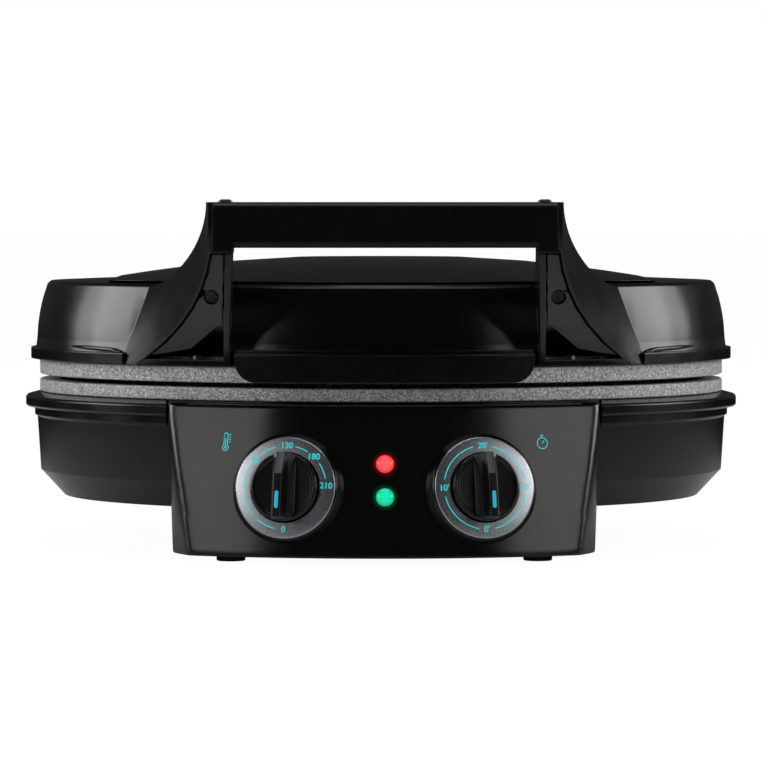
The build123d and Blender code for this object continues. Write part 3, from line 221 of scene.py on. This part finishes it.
def finish_nodes(material, *names):
    """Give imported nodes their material."""
    for name in names:
        nodes[name].data.materials.clear()
        nodes[name].data.materials.append(material)


# a polished mould leaves a dark mirror that is a little soft
gloss_abs = plastic("gloss_black_ABS", "070708", 0.2, 0.01, 4, 0.8, ior=1.52)
finish_nodes(gloss_abs, "base_shell")


# Rear housing, bottom covers and the switches' bodies: black ABS from a finely textured
# mould, which spreads each highlight into a broad dull sheen. The texture is drawn at
# 0.9 mm, coarser than it is, so that it shows.
satin_abs = plastic("satin_black_ABS", "101011", 0.42, 0.02, 0.9, 0.8)
finish_nodes(satin_abs, "rear_housing", "control_cover", "rear_cover")
finish_nodes(satin_abs, "temperature_switch", "timer_switch", "thermal_cutout")


# Control housing: a gloss black ABS moulding that wraps round the front of the tub. Its
# front is part of a leaning cone, with a flat facet at each corner, and every edge is rounded.
housing_low, housing_high = 2.9, 73.5
front_radius_low, front_lean = 190.0, 13.0
side_half_low, side_half_high = 99.8, 102.5
facet_start, facet_back = 92.0, -147.0
housing_centre, housing_back = -60.0, -118.0
collar_radius = 170.6
tub_profile = [
    (2.9, 0), (23.1, 0), (23.2, 158.3), (35.9, 169.9), (62.5, 171.6),
    (62.6, collar_radius), (73.5, collar_radius),
]
lean = atan2(front_lean, housing_high - housing_low)


def height_share(z):
    """How far up the housing a height is, from 0 at its foot to 1 at its roof."""
    return (z - housing_low) / (housing_high - housing_low)


def front_radius(z):
    """Radius of the leaning front at a height."""
    return front_radius_low - front_lean * height_share(z)


def side_half(z):
    """Half the housing's width at a height."""
    return side_half_low + (side_half_high - side_half_low) * height_share(z)


def panel_frame(x, z, lift=0.0):
    """A matrix whose X runs across the panel, Y up it and Z out of it, at a place on the front."""
    radius = front_radius(z)
    turn = asin(x / radius)
    across = Vector((cos(turn), sin(turn), 0))
    out = Vector((cos(lean) * sin(turn), -cos(lean) * cos(turn), sin(lean)))
    place = Vector((x, -sqrt(radius**2 - x**2), z)) + out * lift
    axes = Matrix((across, out.cross(across), out)).transposed().to_4x4()
    return Matrix.Translation(place * mm) @ axes


def between(points, at):
    """The value at a place in a list of (place, value) pairs."""
    for (a, low), (b, high) in zip(points, points[1:]):
        if at <= b:
            return low + (high - low) * (at - a) / (b - a)
    return points[-1][1]


facet_foot = Vector((facet_start, -sqrt(front_radius_low**2 - facet_start**2), housing_low))
facet_side = Vector((side_half_low, facet_back, housing_low))
facet_top = Vector(
    (side_half_high, -sqrt(front_radius(housing_high) ** 2 - side_half_high**2), housing_high)
)
facet_normal = (facet_side - facet_foot).cross(facet_top - facet_foot).normalized()


def housing_reach(angle, z):
    """Distance from the plan centre to the housing's outside, its plan corners softened."""
    softness, far = 0.9, 500
    across, forward = abs(sin(angle)), cos(angle)
    side = side_half(z) / max(across, 0.05)
    half = -housing_centre * forward
    front = -half + sqrt(half**2 - housing_centre**2 + front_radius(z) ** 2)
    gap = facet_foot - Vector((0, housing_centre, z))
    facet = facet_normal.dot(gap) / facet_normal.dot(Vector((across, -forward, 0)))
    reaches = [side, front, facet if facet > 0 else far]
    nearest = min(reaches)
    return nearest - softness * log(sum(exp((nearest - r) / softness) for r in reaches))


def housing_end(z):
    """Angle at which the housing's side meets the tub, or its own back below the tub."""
    x = side_half(z)
    tub = between(tub_profile, z)
    y = -sqrt(tub**2 - x**2) if tub > x else housing_back
    return atan2(x, -min(y, housing_back) + housing_centre)


def grid_faces(rows, columns, round_columns=False, round_rows=False):
    """Faces between rows of vertices. Round columns, or rows, run on from the last to the first."""
    return [
        (
            row * columns + column,
            row * columns + (column + 1) % columns,
            (row + 1) % rows * columns + (column + 1) % columns,
            (row + 1) % rows * columns + column,
        )
        for row in range(rows if round_rows else rows - 1)
        for column in range(columns if round_columns else columns - 1)
    ]


def add_piece(name, mesh, body, material):
    """An object for a mesh, in one material, that rides on a body."""
    mesh.materials.clear()
    mesh.materials.append(material)
    piece = bpy.data.objects.new(name, mesh)
    bpy.context.scene.collection.objects.link(piece)
    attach(piece, body)
    return piece


def new_piece(name, verts, faces, body, material, place=Matrix()):
    """A smooth piece made of vertices in millimetres, set down by a matrix."""
    mesh = bpy.data.meshes.new(name)
    mesh.from_pydata([Vector(v) * mm for v in verts], [], faces)
    tool = bmesh.new()
    tool.from_mesh(mesh)
    bmesh.ops.remove_doubles(tool, verts=tool.verts, dist=1e-6)
    bmesh.ops.recalc_face_normals(tool, faces=tool.faces)
    tool.to_mesh(mesh)
    tool.free()
    mesh.shade_smooth()
    mesh.transform(place)
    return add_piece(name, mesh, body, material)


def bake(piece):
    """Apply the piece's modifiers, so that its mesh is final."""
    graph = bpy.context.evaluated_depsgraph_get()
    mesh = bpy.data.meshes.new_from_object(piece.evaluated_get(graph))
    piece.modifiers.clear()
    piece.data = mesh


# columns run round the outside, and rows go from the lower edge, up the front and over the roof
columns, front_rows = 121, 24
foot_rounding, front_rise, roof_rounding = 0.8, 68.0, 1.8
rows = [(housing_low, foot_rounding)]
rows += [
    (housing_low + foot_rounding * (1 - cos(radians(t))), foot_rounding * (1 - sin(radians(t))))
    for t in (30, 60, 90)
]
rows += [(housing_low + foot_rounding + front_rise * t / front_rows, 0) for t in range(1, front_rows + 1)]
rows += [
    (housing_high - roof_rounding * (1 - sin(radians(t))), roof_rounding * (1 - cos(radians(t))))
    for t in (0, 15, 30, 45, 60, 75, 90)
]
verts = []
for z, inset in rows:
    end = housing_end(z)
    for column in range(columns):
        angle = end * (2 * column / (columns - 1) - 1)
        reach = housing_reach(angle, z) - inset
        verts.append((reach * sin(angle), housing_centre - reach * cos(angle), z))
# the roof's inner edge lies on the tub's collar
for x, y, _ in verts[-columns:]:
    scale = min(collar_radius / sqrt(x**2 + y**2), 1)
    verts.append((x * scale, y * scale, housing_high))

panel_abs = plastic("gloss_black_ABS_panel", "070708", 0.2, 0.01, 4, 0.6, ior=1.52)
# round each lens, at its height, the panel carries a painted glow in the colour that the lamp spills
lens_places = {"red_lens": (46.5, "d0141c"), "green_lens": (31.2, "00a060")}
painted_glow_inner, painted_glow_outer, painted_glow_strength = 3.6, 6.8, 0.13
tree = panel_abs.node_tree
place = add_node(tree, "ShaderNodeTexCoord").outputs["Object"]
painted_spill_glow = add_node(tree, "ShaderNodeRGB").outputs[0]
painted_spill_glow.default_value = (0, 0, 0, 1)
for height, colour in lens_places.values():
    centre = panel_frame(0, height).translation
    away = add_node(tree, "ShaderNodeVectorMath", {"operation": "DISTANCE"}, _0=place, _1=centre)
    fall = add_node(
        tree, "ShaderNodeMapRange", {"interpolation_type": "SMOOTHERSTEP"},
        Value=away.outputs["Value"], From_Min=painted_glow_inner * mm, From_Max=painted_glow_outer * mm,
        To_Min=painted_glow_strength, To_Max=0.0,
    )
    painted_spill_glow = add_node(
        tree, "ShaderNodeMix", {"data_type": "RGBA", "blend_type": "MIX"},
        Factor=fall.outputs[0], _6=painted_spill_glow, _7=linear(colour),
    ).outputs[2]
skin = next(node for node in tree.nodes if node.type == "BSDF_PRINCIPLED")
# the painted glow goes into the panel's emission
tree.links.new(painted_spill_glow, skin.inputs["Emission Color"])
skin.inputs["Emission Strength"].default_value = 1.0

panel = new_piece(
    "control_housing_skin", verts, grid_faces(len(rows) + 1, columns), "base",
    panel_abs,
)
wall = panel.modifiers.new("wall", "SOLIDIFY")
wall.thickness = 2.5 * mm
wall.offset = -1
bake(panel)
panel.data.shade_smooth()
panel.data.set_sharp_from_angle(angle=radians(40))
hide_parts("control_housing")


# Bosses under the dials: rings of gloss black ABS, moulded in one with the control housing.
# They rise out of its curved front and give each dial a flat seat.
def turned(name, profile, place, body, material, count=96, closed=False):
    """A piece turned about its own Z from a profile of (radius, height), set down by a matrix."""
    verts = [
        (r * cos(2 * pi * c / count), r * sin(2 * pi * c / count), h)
        for r, h in profile
        for c in range(count)
    ]
    faces = grid_faces(len(profile), count, round_columns=True, round_rows=closed)
    return new_piece(name, verts, faces, body, material, place)


def rounded(points, radius, steps=4):
    """A profile whose inner corners are rounded."""
    out = [Vector(points[0])]
    for before, corner, after in zip(points, points[1:], points[2:]):
        before, corner, after = Vector(before), Vector(corner), Vector(after)
        reach = min(radius, (corner - before).length / 2, (after - corner).length / 2)
        start = corner + (before - corner).normalized() * reach
        end = corner + (after - corner).normalized() * reach
        for step in range(steps + 1):
            t = step / steps
            out.append(start * (1 - t) ** 2 + corner * 2 * t * (1 - t) + end * t**2)
    return [tuple(p) for p in out + [Vector(points[-1])]]


dial_places = (("temperature", -45.4), ("timer", 45.4))
dial_height = 34.9
boss_rise = 3.0
boss_profile = [
    (28.9, -4.4), (27.0, -2.6), (24.3, boss_rise), (16.0, boss_rise), (16.0, 1.5), (5.2, 1.5), (5.2, -1),
]
for name, x in dial_places:
    turned(
        f"{name}_boss", rounded(boss_profile, 1.2, steps=6), panel_frame(x, dial_height), "base",
        panel_abs,
    )


# Dial rings: pressed aluminium, a little conical, so that the outer side of each catches the
# light. Blasting and anodising leave a satin silver finish, and the scales are printed on it.
# The blasted pits are drawn at 0.6 mm, coarser than they are, so that they show.
satin_grain, pit_depth = 0.6, 0.01
silver = bpy.data.materials.new("satin_anodised_aluminium")
tree = empty_tree(silver)
place = add_node(tree, "ShaderNodeTexCoord").outputs["Object"]
satin = add_node(tree, "ShaderNodeTexNoise", Vector=place, Scale=1 / (satin_grain * mm), Detail=2.0)
satin_gloss = add_node(
    tree, "ShaderNodeMapRange", Value=satin.outputs["Fac"], From_Min=0.3, From_Max=0.7,
    To_Min=0.26, To_Max=0.34,
)
satin_face = add_node(
    tree, "ShaderNodeBump", Height=satin.outputs["Fac"], Strength=0.5, Distance=pit_depth * mm
)
metal_skin = add_node(
    tree, "ShaderNodeBsdfPrincipled", Base_Color=linear("c9ced3"), Metallic=1.0,
    Roughness=satin_gloss.outputs[0], Normal=satin_face.outputs[0],
)
add_node(tree, "ShaderNodeOutputMaterial", Surface=metal_skin.outputs[0])

ring_low = boss_rise + 0.1
ring_inner, ring_outer, ring_edge = 16.55, 23.8, 0.35
ring_inner_high, ring_outer_high = ring_low + 1.4, ring_low + 0.65
ring_profile = [
    (ring_inner, ring_low), (ring_inner, ring_inner_high), (ring_outer - ring_edge, ring_outer_high),
    (ring_outer, ring_outer_high - 0.3), (ring_outer, ring_low),
]
for name, x in dial_places:
    dial = turned(
        f"{name}_dial_ring", rounded(ring_profile, 0.25), panel_frame(x, dial_height), "base",
        silver, count=160, closed=True,
    )
    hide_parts(f"{name}_dial")

# screen ink dries dull, and a painted glow keeps its colour bright where the metal round it turns dark
cyan_ink_painted_glow = plastic("cyan_screen_ink_painted_glow", "20c4ca", 0.45, 0.002, 0.4, 0.05, glow=0.3)
print_circle, arc_width = 19.6, 0.48
figure_size, figure_weight, face_fall = 4.0, 0.08, atan2(0.75, 6.6)


def ring_height(radius):
    """Height of the ring's face over the panel at a radius, just above the metal."""
    share = (radius - ring_inner) / (ring_outer - ring_edge - ring_inner)
    return ring_inner_high + (ring_outer_high - ring_inner_high) * share + 0.04


def printed_arc(name, x, start, end):
    """A line printed on the ring, from one clock angle to another, in degrees from the top."""
    steps = 24
    verts = []
    for step in range(steps + 1):
        angle = radians(start + (end - start) * step / steps)
        for radius in (print_circle - arc_width / 2, print_circle + arc_width / 2):
            verts.append((radius * sin(angle), radius * cos(angle), ring_height(radius)))
    new_piece(
        name, verts, grid_faces(steps + 1, 2), "base", cyan_ink_painted_glow,
        panel_frame(x, dial_height),
    )


def printed_text(name, words, place):
    """Figures printed flat, centred on a place."""
    curve = bpy.data.curves.new(name, "FONT")
    curve.body = words
    curve.size = figure_size * mm
    curve.align_x = "CENTER"
    curve.align_y = "CENTER"
    curve.offset = figure_weight * mm
    held = bpy.data.objects.new(name + "_curve", curve)
    bpy.context.scene.collection.objects.link(held)
    graph = bpy.context.evaluated_depsgraph_get()
    mesh = bpy.data.meshes.new_from_object(held.evaluated_get(graph))
    bpy.data.objects.remove(held)
    mesh.transform(place)
    add_piece(name, mesh, "base", cyan_ink_painted_glow)


# each figure stands at a clock angle, and each arc runs from one clock angle to another
scales = {
    "temperature": (
        [("0", 180), ("90", 310), ("130", 0), ("180", 42), ("210", 87)],
        [(191, 221), (229, 262), (268, 301), (320, 344), (12, 31), (54, 77)],
    ),
    "timer": (
        [("0'", 180), ("10'", 270), ("20'", 0), ("30'", 90)],
        [(191, 258), (282, 346), (14, 78), (102, 168)],
    ),
}
for name, x in dial_places:
    figures, arcs = scales[name]
    for words, clock in figures:
        angle = radians(clock)
        spot = (
            print_circle * sin(angle) * mm, print_circle * cos(angle) * mm,
            ring_height(print_circle) * mm,
        )
        # the figure tilts outward with the ring's face, and stays upright
        tilt = Matrix.Rotation(-angle, 4, "Z") @ Matrix.Rotation(-face_fall, 4, "X")
        upright = tilt @ Matrix.Rotation(angle, 4, "Z")
        place = panel_frame(x, dial_height) @ Matrix.Translation(spot) @ upright
        bare = words.strip("'")
        printed_text(f"{name}_figure_{bare}", words, place)
    for number, (start, end) in enumerate(arcs):
        printed_arc(f"{name}_arc_{number}", x, start, end)


# Signs beside the dials: a thermometer and a stopwatch, drawn in fine lines. They are screen
# printed on the panel, in the same cyan ink as the scales.
def printed_strokes(name, x, z, strokes, width):
    """Lines printed on the panel: each stroke is a list of points, drawn with one width."""
    lift = 0.06
    verts, faces = [], []
    for points in strokes:
        points = [Vector(p) for p in points]
        loop = (points[0] - points[-1]).length < 1e-6
        for i, p in enumerate(points):
            before = points[i - 1] if i else (points[-2] if loop else p)
            after = points[i + 1] if i < len(points) - 1 else (points[1] if loop else p)
            along = (after - before).normalized()
            across = Vector((-along.y, along.x)) * width / 2
            verts += [(*(p - across), lift), (*(p + across), lift)]
            if i:
                n = len(verts)
                faces.append((n - 4, n - 3, n - 1, n - 2))
    new_piece(name, verts, faces, "base", cyan_ink_painted_glow, panel_frame(x, z))


def arc_points(centre, radius, start, end, count=32):
    """Points on an arc, by clock angles in degrees."""
    return [
        (centre[0] + radius * sin(radians(start + (end - start) * t / count)),
         centre[1] + radius * cos(radians(start + (end - start) * t / count)))
        for t in range(count + 1)
    ]


stem = [(-0.9, -1.6), (-0.9, 3.1)] + arc_points((0, 3.1), 0.9, -90, 90, 12) + [(0.9, -1.6)]
bulb = arc_points((0, -2.8), 1.5, 37, 323)
ticks = [[(1.5, h), (2.5, h)] for h in (3.3, 2.1, 0.9, -0.3)]
mercury = [[(0, 1.4), (0, -2.2)], arc_points((0, -2.8), 0.5, 0, 360, 16)]
printed_strokes("thermometer_sign", -74.2, 56.3, [stem, bulb, *ticks, *mercury], 0.4)
watch = arc_points((0, 0), 2.6, 0, 360)
button, neck, hand = [(-0.9, 3.7), (0.9, 3.7)], [(0, 2.7), (0, 3.6)], [(0, 0), (1.0, 1.2)]
printed_strokes("stopwatch_sign", 73.8, 55.4, [watch, button, hand, neck], 0.38)


# Knobs: gloss black ABS, each a disc with a bar grip across it, moulded in one and pushed on
# to its shaft. The grip slopes away at its upper end, and carries a cyan pointer near its
# lower end.
def end_faces(count, columns):
    """The faces that close the first and the last row of a grid with a count of vertices."""
    return [tuple(range(columns)), tuple(range(count - columns, count))]


def soften(piece, width, angle=30):
    """Round the piece's edges that are sharper than an angle, and keep its flats flat."""
    bevel = piece.modifiers.new("rounded", "BEVEL")
    bevel.width = width * mm
    bevel.segments = 3
    bevel.angle_limit = radians(angle)
    normals = piece.modifiers.new("flats", "WEIGHTED_NORMAL")
    normals.keep_sharp = True
    bake(piece)


knob_black = plastic("gloss_black_ABS_knob", "0b0b0c", 0.24, 0.008, 2, 0.3)
knob_foot, disc_height, knob_radius = boss_rise + 0.3, 4.6, 15.95
disc_profile = [
    (0, disc_height - 0.5), (13.4, disc_height - 0.5), (14.3, disc_height), (15.3, disc_height),
    (knob_radius, disc_height - 0.9), (knob_radius, 0), (14.5, 0),
    (14.5, disc_height - 2), (0, disc_height - 2),
]
grip_height, grip_radius, slope_start, slope = 11.2, knob_radius - 0.3, 4.6, 0.47
grip_side = [(6.0, -0.9), (5.3, -0.2), (4.9, 0.9), (3.1, 4.0), (1.95, grip_height)]
grip_section = [(-across, rise) for across, rise in grip_side] + grip_side[::-1]


def grip_stations(across):
    """Places along the grip at which it is cut across, from its lower end to its upper one."""
    end = sqrt(grip_radius**2 - across**2)
    return [-end, -end / 2, 0, slope_start, (slope_start + end) / 2, end]


cuts, wide = len(grip_stations(0)), len(grip_section)
grip_verts = []
for cut in range(cuts):
    for across, rise in grip_section:
        along = grip_stations(across)[cut]
        top = grip_height - max(0.0, along - slope_start) * slope
        grip_verts.append((across, along, min(rise, top) + disc_height))
grip_faces = grid_faces(cuts, wide) + end_faces(len(grip_verts), wide)
# the grip's underside
grip_faces += [
    (a * wide, (a + 1) * wide, (a + 1) * wide + wide - 1, a * wide + wide - 1) for a in range(cuts - 1)
]
for name, x in dial_places:
    place = panel_frame(x, dial_height, knob_foot)
    knob = turned(
        f"{name}_knob_disc", rounded(disc_profile, 0.35), place, f"{name}_control",
        knob_black, count=128,
    )
    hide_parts(f"{name}_knob")
    grip = new_piece(
        f"{name}_knob_grip", grip_verts, grip_faces, f"{name}_control",
        knob_black, place,
    )
    soften(grip, 0.35, angle=12)
# the pointers are moulded in coloured plastic, with a soft shine
cyan_abs = plastic("cyan_ABS", "1fb0d4", 0.35, 0.01, 1, 0.3)
finish_nodes(cyan_abs, "temperature_pointer", "timer_pointer")


# Lamp lenses: red and green domes of moulded polycarbonate, pushed into the panel. They
# spread the light of the lamps behind them, which share their materials.
def lamp_lens(name, dark, bright):
    """A lit dome: its light is strongest in the middle, where the lamp stands."""
    ripple_size, ripple_height, light_inner, light_outer = 2, 0.2, 1.8, 4.6
    dome_radius, dome_rise = 4.25, 2.1
    made = bpy.data.materials.new(f"{name}_polycarbonate")
    tree = empty_tree(made)
    place = add_node(tree, "ShaderNodeTexCoord").outputs["Object"]
    away = add_node(tree, "ShaderNodeVectorMath", {"operation": "LENGTH"}, _0=place)
    fall = add_node(
        tree, "ShaderNodeMapRange", {"interpolation_type": "SMOOTHSTEP"},
        Value=away.outputs["Value"], From_Min=light_inner * mm, From_Max=light_outer * mm,
        To_Min=1.0, To_Max=0.0,
    )
    cloud = add_node(
        tree, "ShaderNodeTexNoise", Vector=place, Scale=1 / (ripple_size * mm), Detail=2.0
    )
    shade = add_node(
        tree, "ShaderNodeMix", {"data_type": "RGBA"}, Factor=fall.outputs[0],
        _6=linear(dark), _7=linear(bright),
    )
    ripple = add_node(
        tree, "ShaderNodeBump", Height=cloud.outputs["Fac"], Strength=0.4,
        Distance=ripple_height * mm,
    )
    skin = add_node(
        tree, "ShaderNodeBsdfPrincipled", Base_Color=shade.outputs[2], Roughness=0.16, IOR=1.58,
        Emission_Color=shade.outputs[2], Emission_Strength=0.55, Normal=ripple.outputs[0],
    )
    add_node(tree, "ShaderNodeOutputMaterial", Surface=skin.outputs[0])
    profile = [(0, dome_rise)]
    profile += [(dome_radius * sin(radians(t)), dome_rise * cos(radians(t))) for t in range(10, 91, 8)]
    profile += [(dome_radius, -0.4), (3.4, -0.5), (3.4, -4.5), (0, -4.5)]
    lens = turned(f"{name}_dome", profile, Matrix(), "base", made, count=48)
    # the light's middle is the lens's own origin
    height, _ = lens_places[name]
    lens.matrix_world = panel_frame(0, height, 0.05)
    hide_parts(name)
    return made


finish_nodes(lamp_lens("red_lens", "e03036", "ff5c62"), "red_lamp")
finish_nodes(lamp_lens("green_lens", "06b886", "10dcab"), "green_lamp")


# Plates: cast aluminium, sprayed with a non-stick coating that is flecked light and dark
# like granite. The flecks are about half a millimetre across.
fleck_size, coat_grain, coat_depth, rim_edge = 0.6, 2, 0.2, 0.5
stone = bpy.data.materials.new("granite_look_PTFE_on_aluminium")
tree = empty_tree(stone)
place = add_node(tree, "ShaderNodeTexCoord").outputs["Object"]
flecks = add_node(
    tree, "ShaderNodeTexVoronoi", Vector=place, Scale=1 / (fleck_size * mm), Randomness=1.0
)
fleck_tone = add_node(tree, "ShaderNodeSeparateColor", Color=flecks.outputs["Color"])
tones = add_node(tree, "ShaderNodeValToRGB", Fac=fleck_tone.outputs[0])
tones.color_ramp.elements[0].color = linear("606162")
tones.color_ramp.elements[1].color = linear("dcdddd")
tones.color_ramp.elements.new(0.35).color = linear("949596")
tones.color_ramp.elements.new(0.75).color = linear("b0b1b2")
coarse = add_node(tree, "ShaderNodeTexNoise", Vector=place, Scale=1 / (coat_grain * mm), Detail=3.0)
rough_coat = add_node(
    tree, "ShaderNodeBump", Height=coarse.outputs["Fac"], Strength=0.6, Distance=coat_depth * mm,
    Normal=add_node(tree, "ShaderNodeBevel", {"samples": 6}, Radius=rim_edge * mm).outputs[0],
)
coat = add_node(
    tree, "ShaderNodeBsdfPrincipled", Base_Color=tones.outputs[0], Roughness=0.5,
    IOR=1.38, Normal=rough_coat.outputs[0],
)
add_node(tree, "ShaderNodeOutputMaterial", Surface=coat.outputs[0])
finish_nodes(stone, "lower_plate", "upper_plate")


# Steel: zinc-plated screws, pins and spindles, aluminised sheet for the heat shields, and
# annealed tube, dulled by heat, for the heaters.
def metal(name, colour, roughness):
    """A plain metal whose tone and gloss are a little uneven, as handling leaves them."""
    wear_size, edge = 4, 0.2
    made = bpy.data.materials.new(name)
    tree = empty_tree(made)
    place = add_node(tree, "ShaderNodeTexCoord").outputs["Object"]
    wear = add_node(tree, "ShaderNodeTexNoise", Vector=place, Scale=1 / (wear_size * mm), Detail=4.0)
    shade = add_node(
        tree, "ShaderNodeMix", {"data_type": "RGBA"}, Factor=wear.outputs["Fac"],
        _6=linear(colour), _7=[0.75 * c for c in linear(colour)],
    )
    gloss = add_node(
        tree, "ShaderNodeMapRange", Value=wear.outputs["Fac"], From_Min=0.3, From_Max=0.7,
        To_Min=roughness * 0.8, To_Max=roughness * 1.2,
    )
    skin = add_node(
        tree, "ShaderNodeBsdfPrincipled", Base_Color=shade.outputs[2], Metallic=1.0,
        Roughness=gloss.outputs[0],
        Normal=add_node(tree, "ShaderNodeBevel", {"samples": 4}, Radius=edge * mm).outputs[0],
    )
    add_node(tree, "ShaderNodeOutputMaterial", Surface=skin.outputs[0])
    return made


zinc = metal("zinc_plated_steel", "b9bcc0", 0.3)
finish_nodes(zinc, "hinge_pins", "temperature_shaft", "timer_shaft", "lower_plate_screws")
finish_nodes(zinc, "upper_shield_screws", "rim_screws", "insert_screws", "hinge_arm_screws", "cover_screws")
finish_nodes(metal("aluminised_steel_sheet", "c4c6c8", 0.4), "lower_heat_shield", "upper_heat_shield")
finish_nodes(metal("annealed_steel_tube", "5a5652", 0.45), "lower_heater", "upper_heater")


# Feet, bumpers and cord inlet: soft black rubber, moulded, which hardly shines. The lamps'
# board is dull brown phenolic sheet, and the terminal block is porcelain with a clear glaze.
rubber = plastic("moulded_rubber", "1b1b1b", 0.7, 0.04, 0.6, 0.5)
finish_nodes(rubber, "front_feet", "rear_feet", "lid_bumpers", "cord_inlet")
finish_nodes(plastic("phenolic_board", "6a5030", 0.5, 0.01, 1, 0.3), "lamp_board")
finish_nodes(plastic("porcelain", "d8d4cc", 0.25, 0.01, 1, 0.3), "terminal_block")


# Lid: one moulding of the same gloss black ABS as the tub. Its raised middle is one smooth
# swell, so the shading runs on across the shallow steps between its sections, and every
# other edge stays as it is.
swell_foot, upward = 130.61, 0.85
lid_mesh = nodes["lid_shell"].data.copy()
lid_mesh.transform(nodes["lid_shell"].matrix_world)
swell = [
    face for face in lid_mesh.polygons
    if face.normal.z > upward and all(lid_mesh.vertices[v].co.z > swell_foot * mm for v in face.vertices)
]


def spot_of(v):
    """A key for the place of a vertex, the same for all vertices that lie there."""
    return tuple(round(c, 5) for c in lid_mesh.vertices[v].co)


normals = [corner.vector.copy() for corner in lid_mesh.corner_normals]
shared = {}
for face in swell:
    for v in face.vertices:
        shared[spot_of(v)] = shared.get(spot_of(v), Vector()) + face.normal * face.area
for face in swell:
    for v, corner in zip(face.vertices, face.loop_indices):
        normals[corner] = shared[spot_of(v)].normalized()
lid_mesh.normals_split_custom_set(normals)
lid = add_piece("lid_shell_moulding", lid_mesh, "lid", gloss_abs)
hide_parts("lid_shell")


# Ridges on the lid's collar: on each side a low rounded ridge leaves the lid's wall, runs
# forward along the collar and turns down over its end. They are moulded with the lid.
def ridge(name, spots):
    """A round bead through spots of (angle from the front, radius, height, bead radius)."""
    count = 10
    verts = []
    for angle, radius, height, bead in spots:
        out = Vector((sin(radians(angle)), -cos(radians(angle)), 0))
        for step in range(count):
            turn = 2 * pi * step / count
            verts.append(out * (radius + bead * cos(turn)) + Vector((0, 0, height + bead * sin(turn))))
    faces = grid_faces(len(spots), count, round_columns=True) + end_faces(len(verts), count)
    new_piece(name, verts, faces, "lid", gloss_abs)


ridge_steps = 24
for side, name in ((-1, "left"), (1, "right")):
    spots = []
    for step in range(ridge_steps + 1):
        share = step / ridge_steps
        fall = max(0.0, share - 0.8) / 0.2
        angle = side * (61.0 - 14.6 * share)
        radius = 171.4 + 1.6 * min(1, 1.4 * share)
        height = 98.7 - 0.9 * share - 1.7 * fall**2
        bead = 0.45 + 0.6 * min(1, 3 * share)
        spots.append((angle, radius, height, bead))
    ridge(f"lid_collar_ridge_{name}", spots)


# Mouldings with eased edges: the handle bar, its cover, the lip, the inserts, the hinge arms
# and the catches are ABS, and a moulded edge is never sharp, so light runs along each of
# them. Each insert sits in its bracket with a narrow gap round it, which shows dark.
def draw_in(tool, distance, keep_place, keep_radius):
    """Move a plate's side walls in by a distance, but not the wall of the hole at a place."""
    # a side wall hardly faces forward, and a sliver's direction can't be trusted
    forward, sliver = 0.4, 1e-9
    for vert in tool.verts:
        off = Vector((vert.co.x - keep_place[0] * mm, vert.co.z - keep_place[1] * mm))
        if off.length < keep_radius * mm:
            continue
        walls = [
            face.normal for face in vert.link_faces
            if abs(face.normal.y) < forward and face.calc_area() > sliver
        ]
        if walls:
            inward = sum(walls, Vector()).normalized()
            vert.co -= Vector((inward.x, 0, inward.z)) * distance * mm


def eased(node_name, body, material, width, gap=None):
    """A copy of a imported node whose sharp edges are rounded; it replaces the node."""
    mesh = nodes[node_name].data.copy()
    tool = bmesh.new()
    tool.from_mesh(mesh)
    bmesh.ops.transform(tool, matrix=nodes[node_name].matrix_world, verts=tool.verts)
    bmesh.ops.remove_doubles(tool, verts=tool.verts, dist=2e-6)
    bmesh.ops.dissolve_limit(
        tool, angle_limit=radians(0.5), verts=tool.verts, edges=tool.edges, use_dissolve_boundaries=False
    )
    if gap:
        draw_in(tool, *gap)
    tool.to_mesh(mesh)
    tool.free()
    mesh.shade_smooth()
    piece = add_piece(f"{node_name}_moulding", mesh, body, material)
    soften(piece, width)
    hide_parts(node_name)


# the handle's mould is less polished, so the handle mirrors less; the inserts' finely
# textured mould leaves a dull dark grey
semi_gloss_abs = plastic("semi_gloss_black_ABS", "080809", 0.3, 0.01, 2, 2, ior=1.34)
grey_abs = plastic("satin_grey_ABS", "2b2b2c", 0.46, 0.02, 0.9, 0.2)
insert_gap, insert_screw_x, insert_screw_z, screw_seat = 0.7, 80.5, 124.1, 5.5
eased("handle_bar", "lid", semi_gloss_abs, 1.6)
eased("handle_cover", "lid", semi_gloss_abs, 0.3)
eased("front_lip", "lid", gloss_abs, 0.6)
for side, name in ((-1, "left_insert"), (1, "right_insert")):
    gap = (insert_gap, (side * insert_screw_x, insert_screw_z), screw_seat)
    eased(name, "lid", grey_abs, 0.3, gap=gap)
eased("hinge_arms", "lid", satin_abs, 0.6)
eased("plate_catches", "base", satin_abs, 0.25)
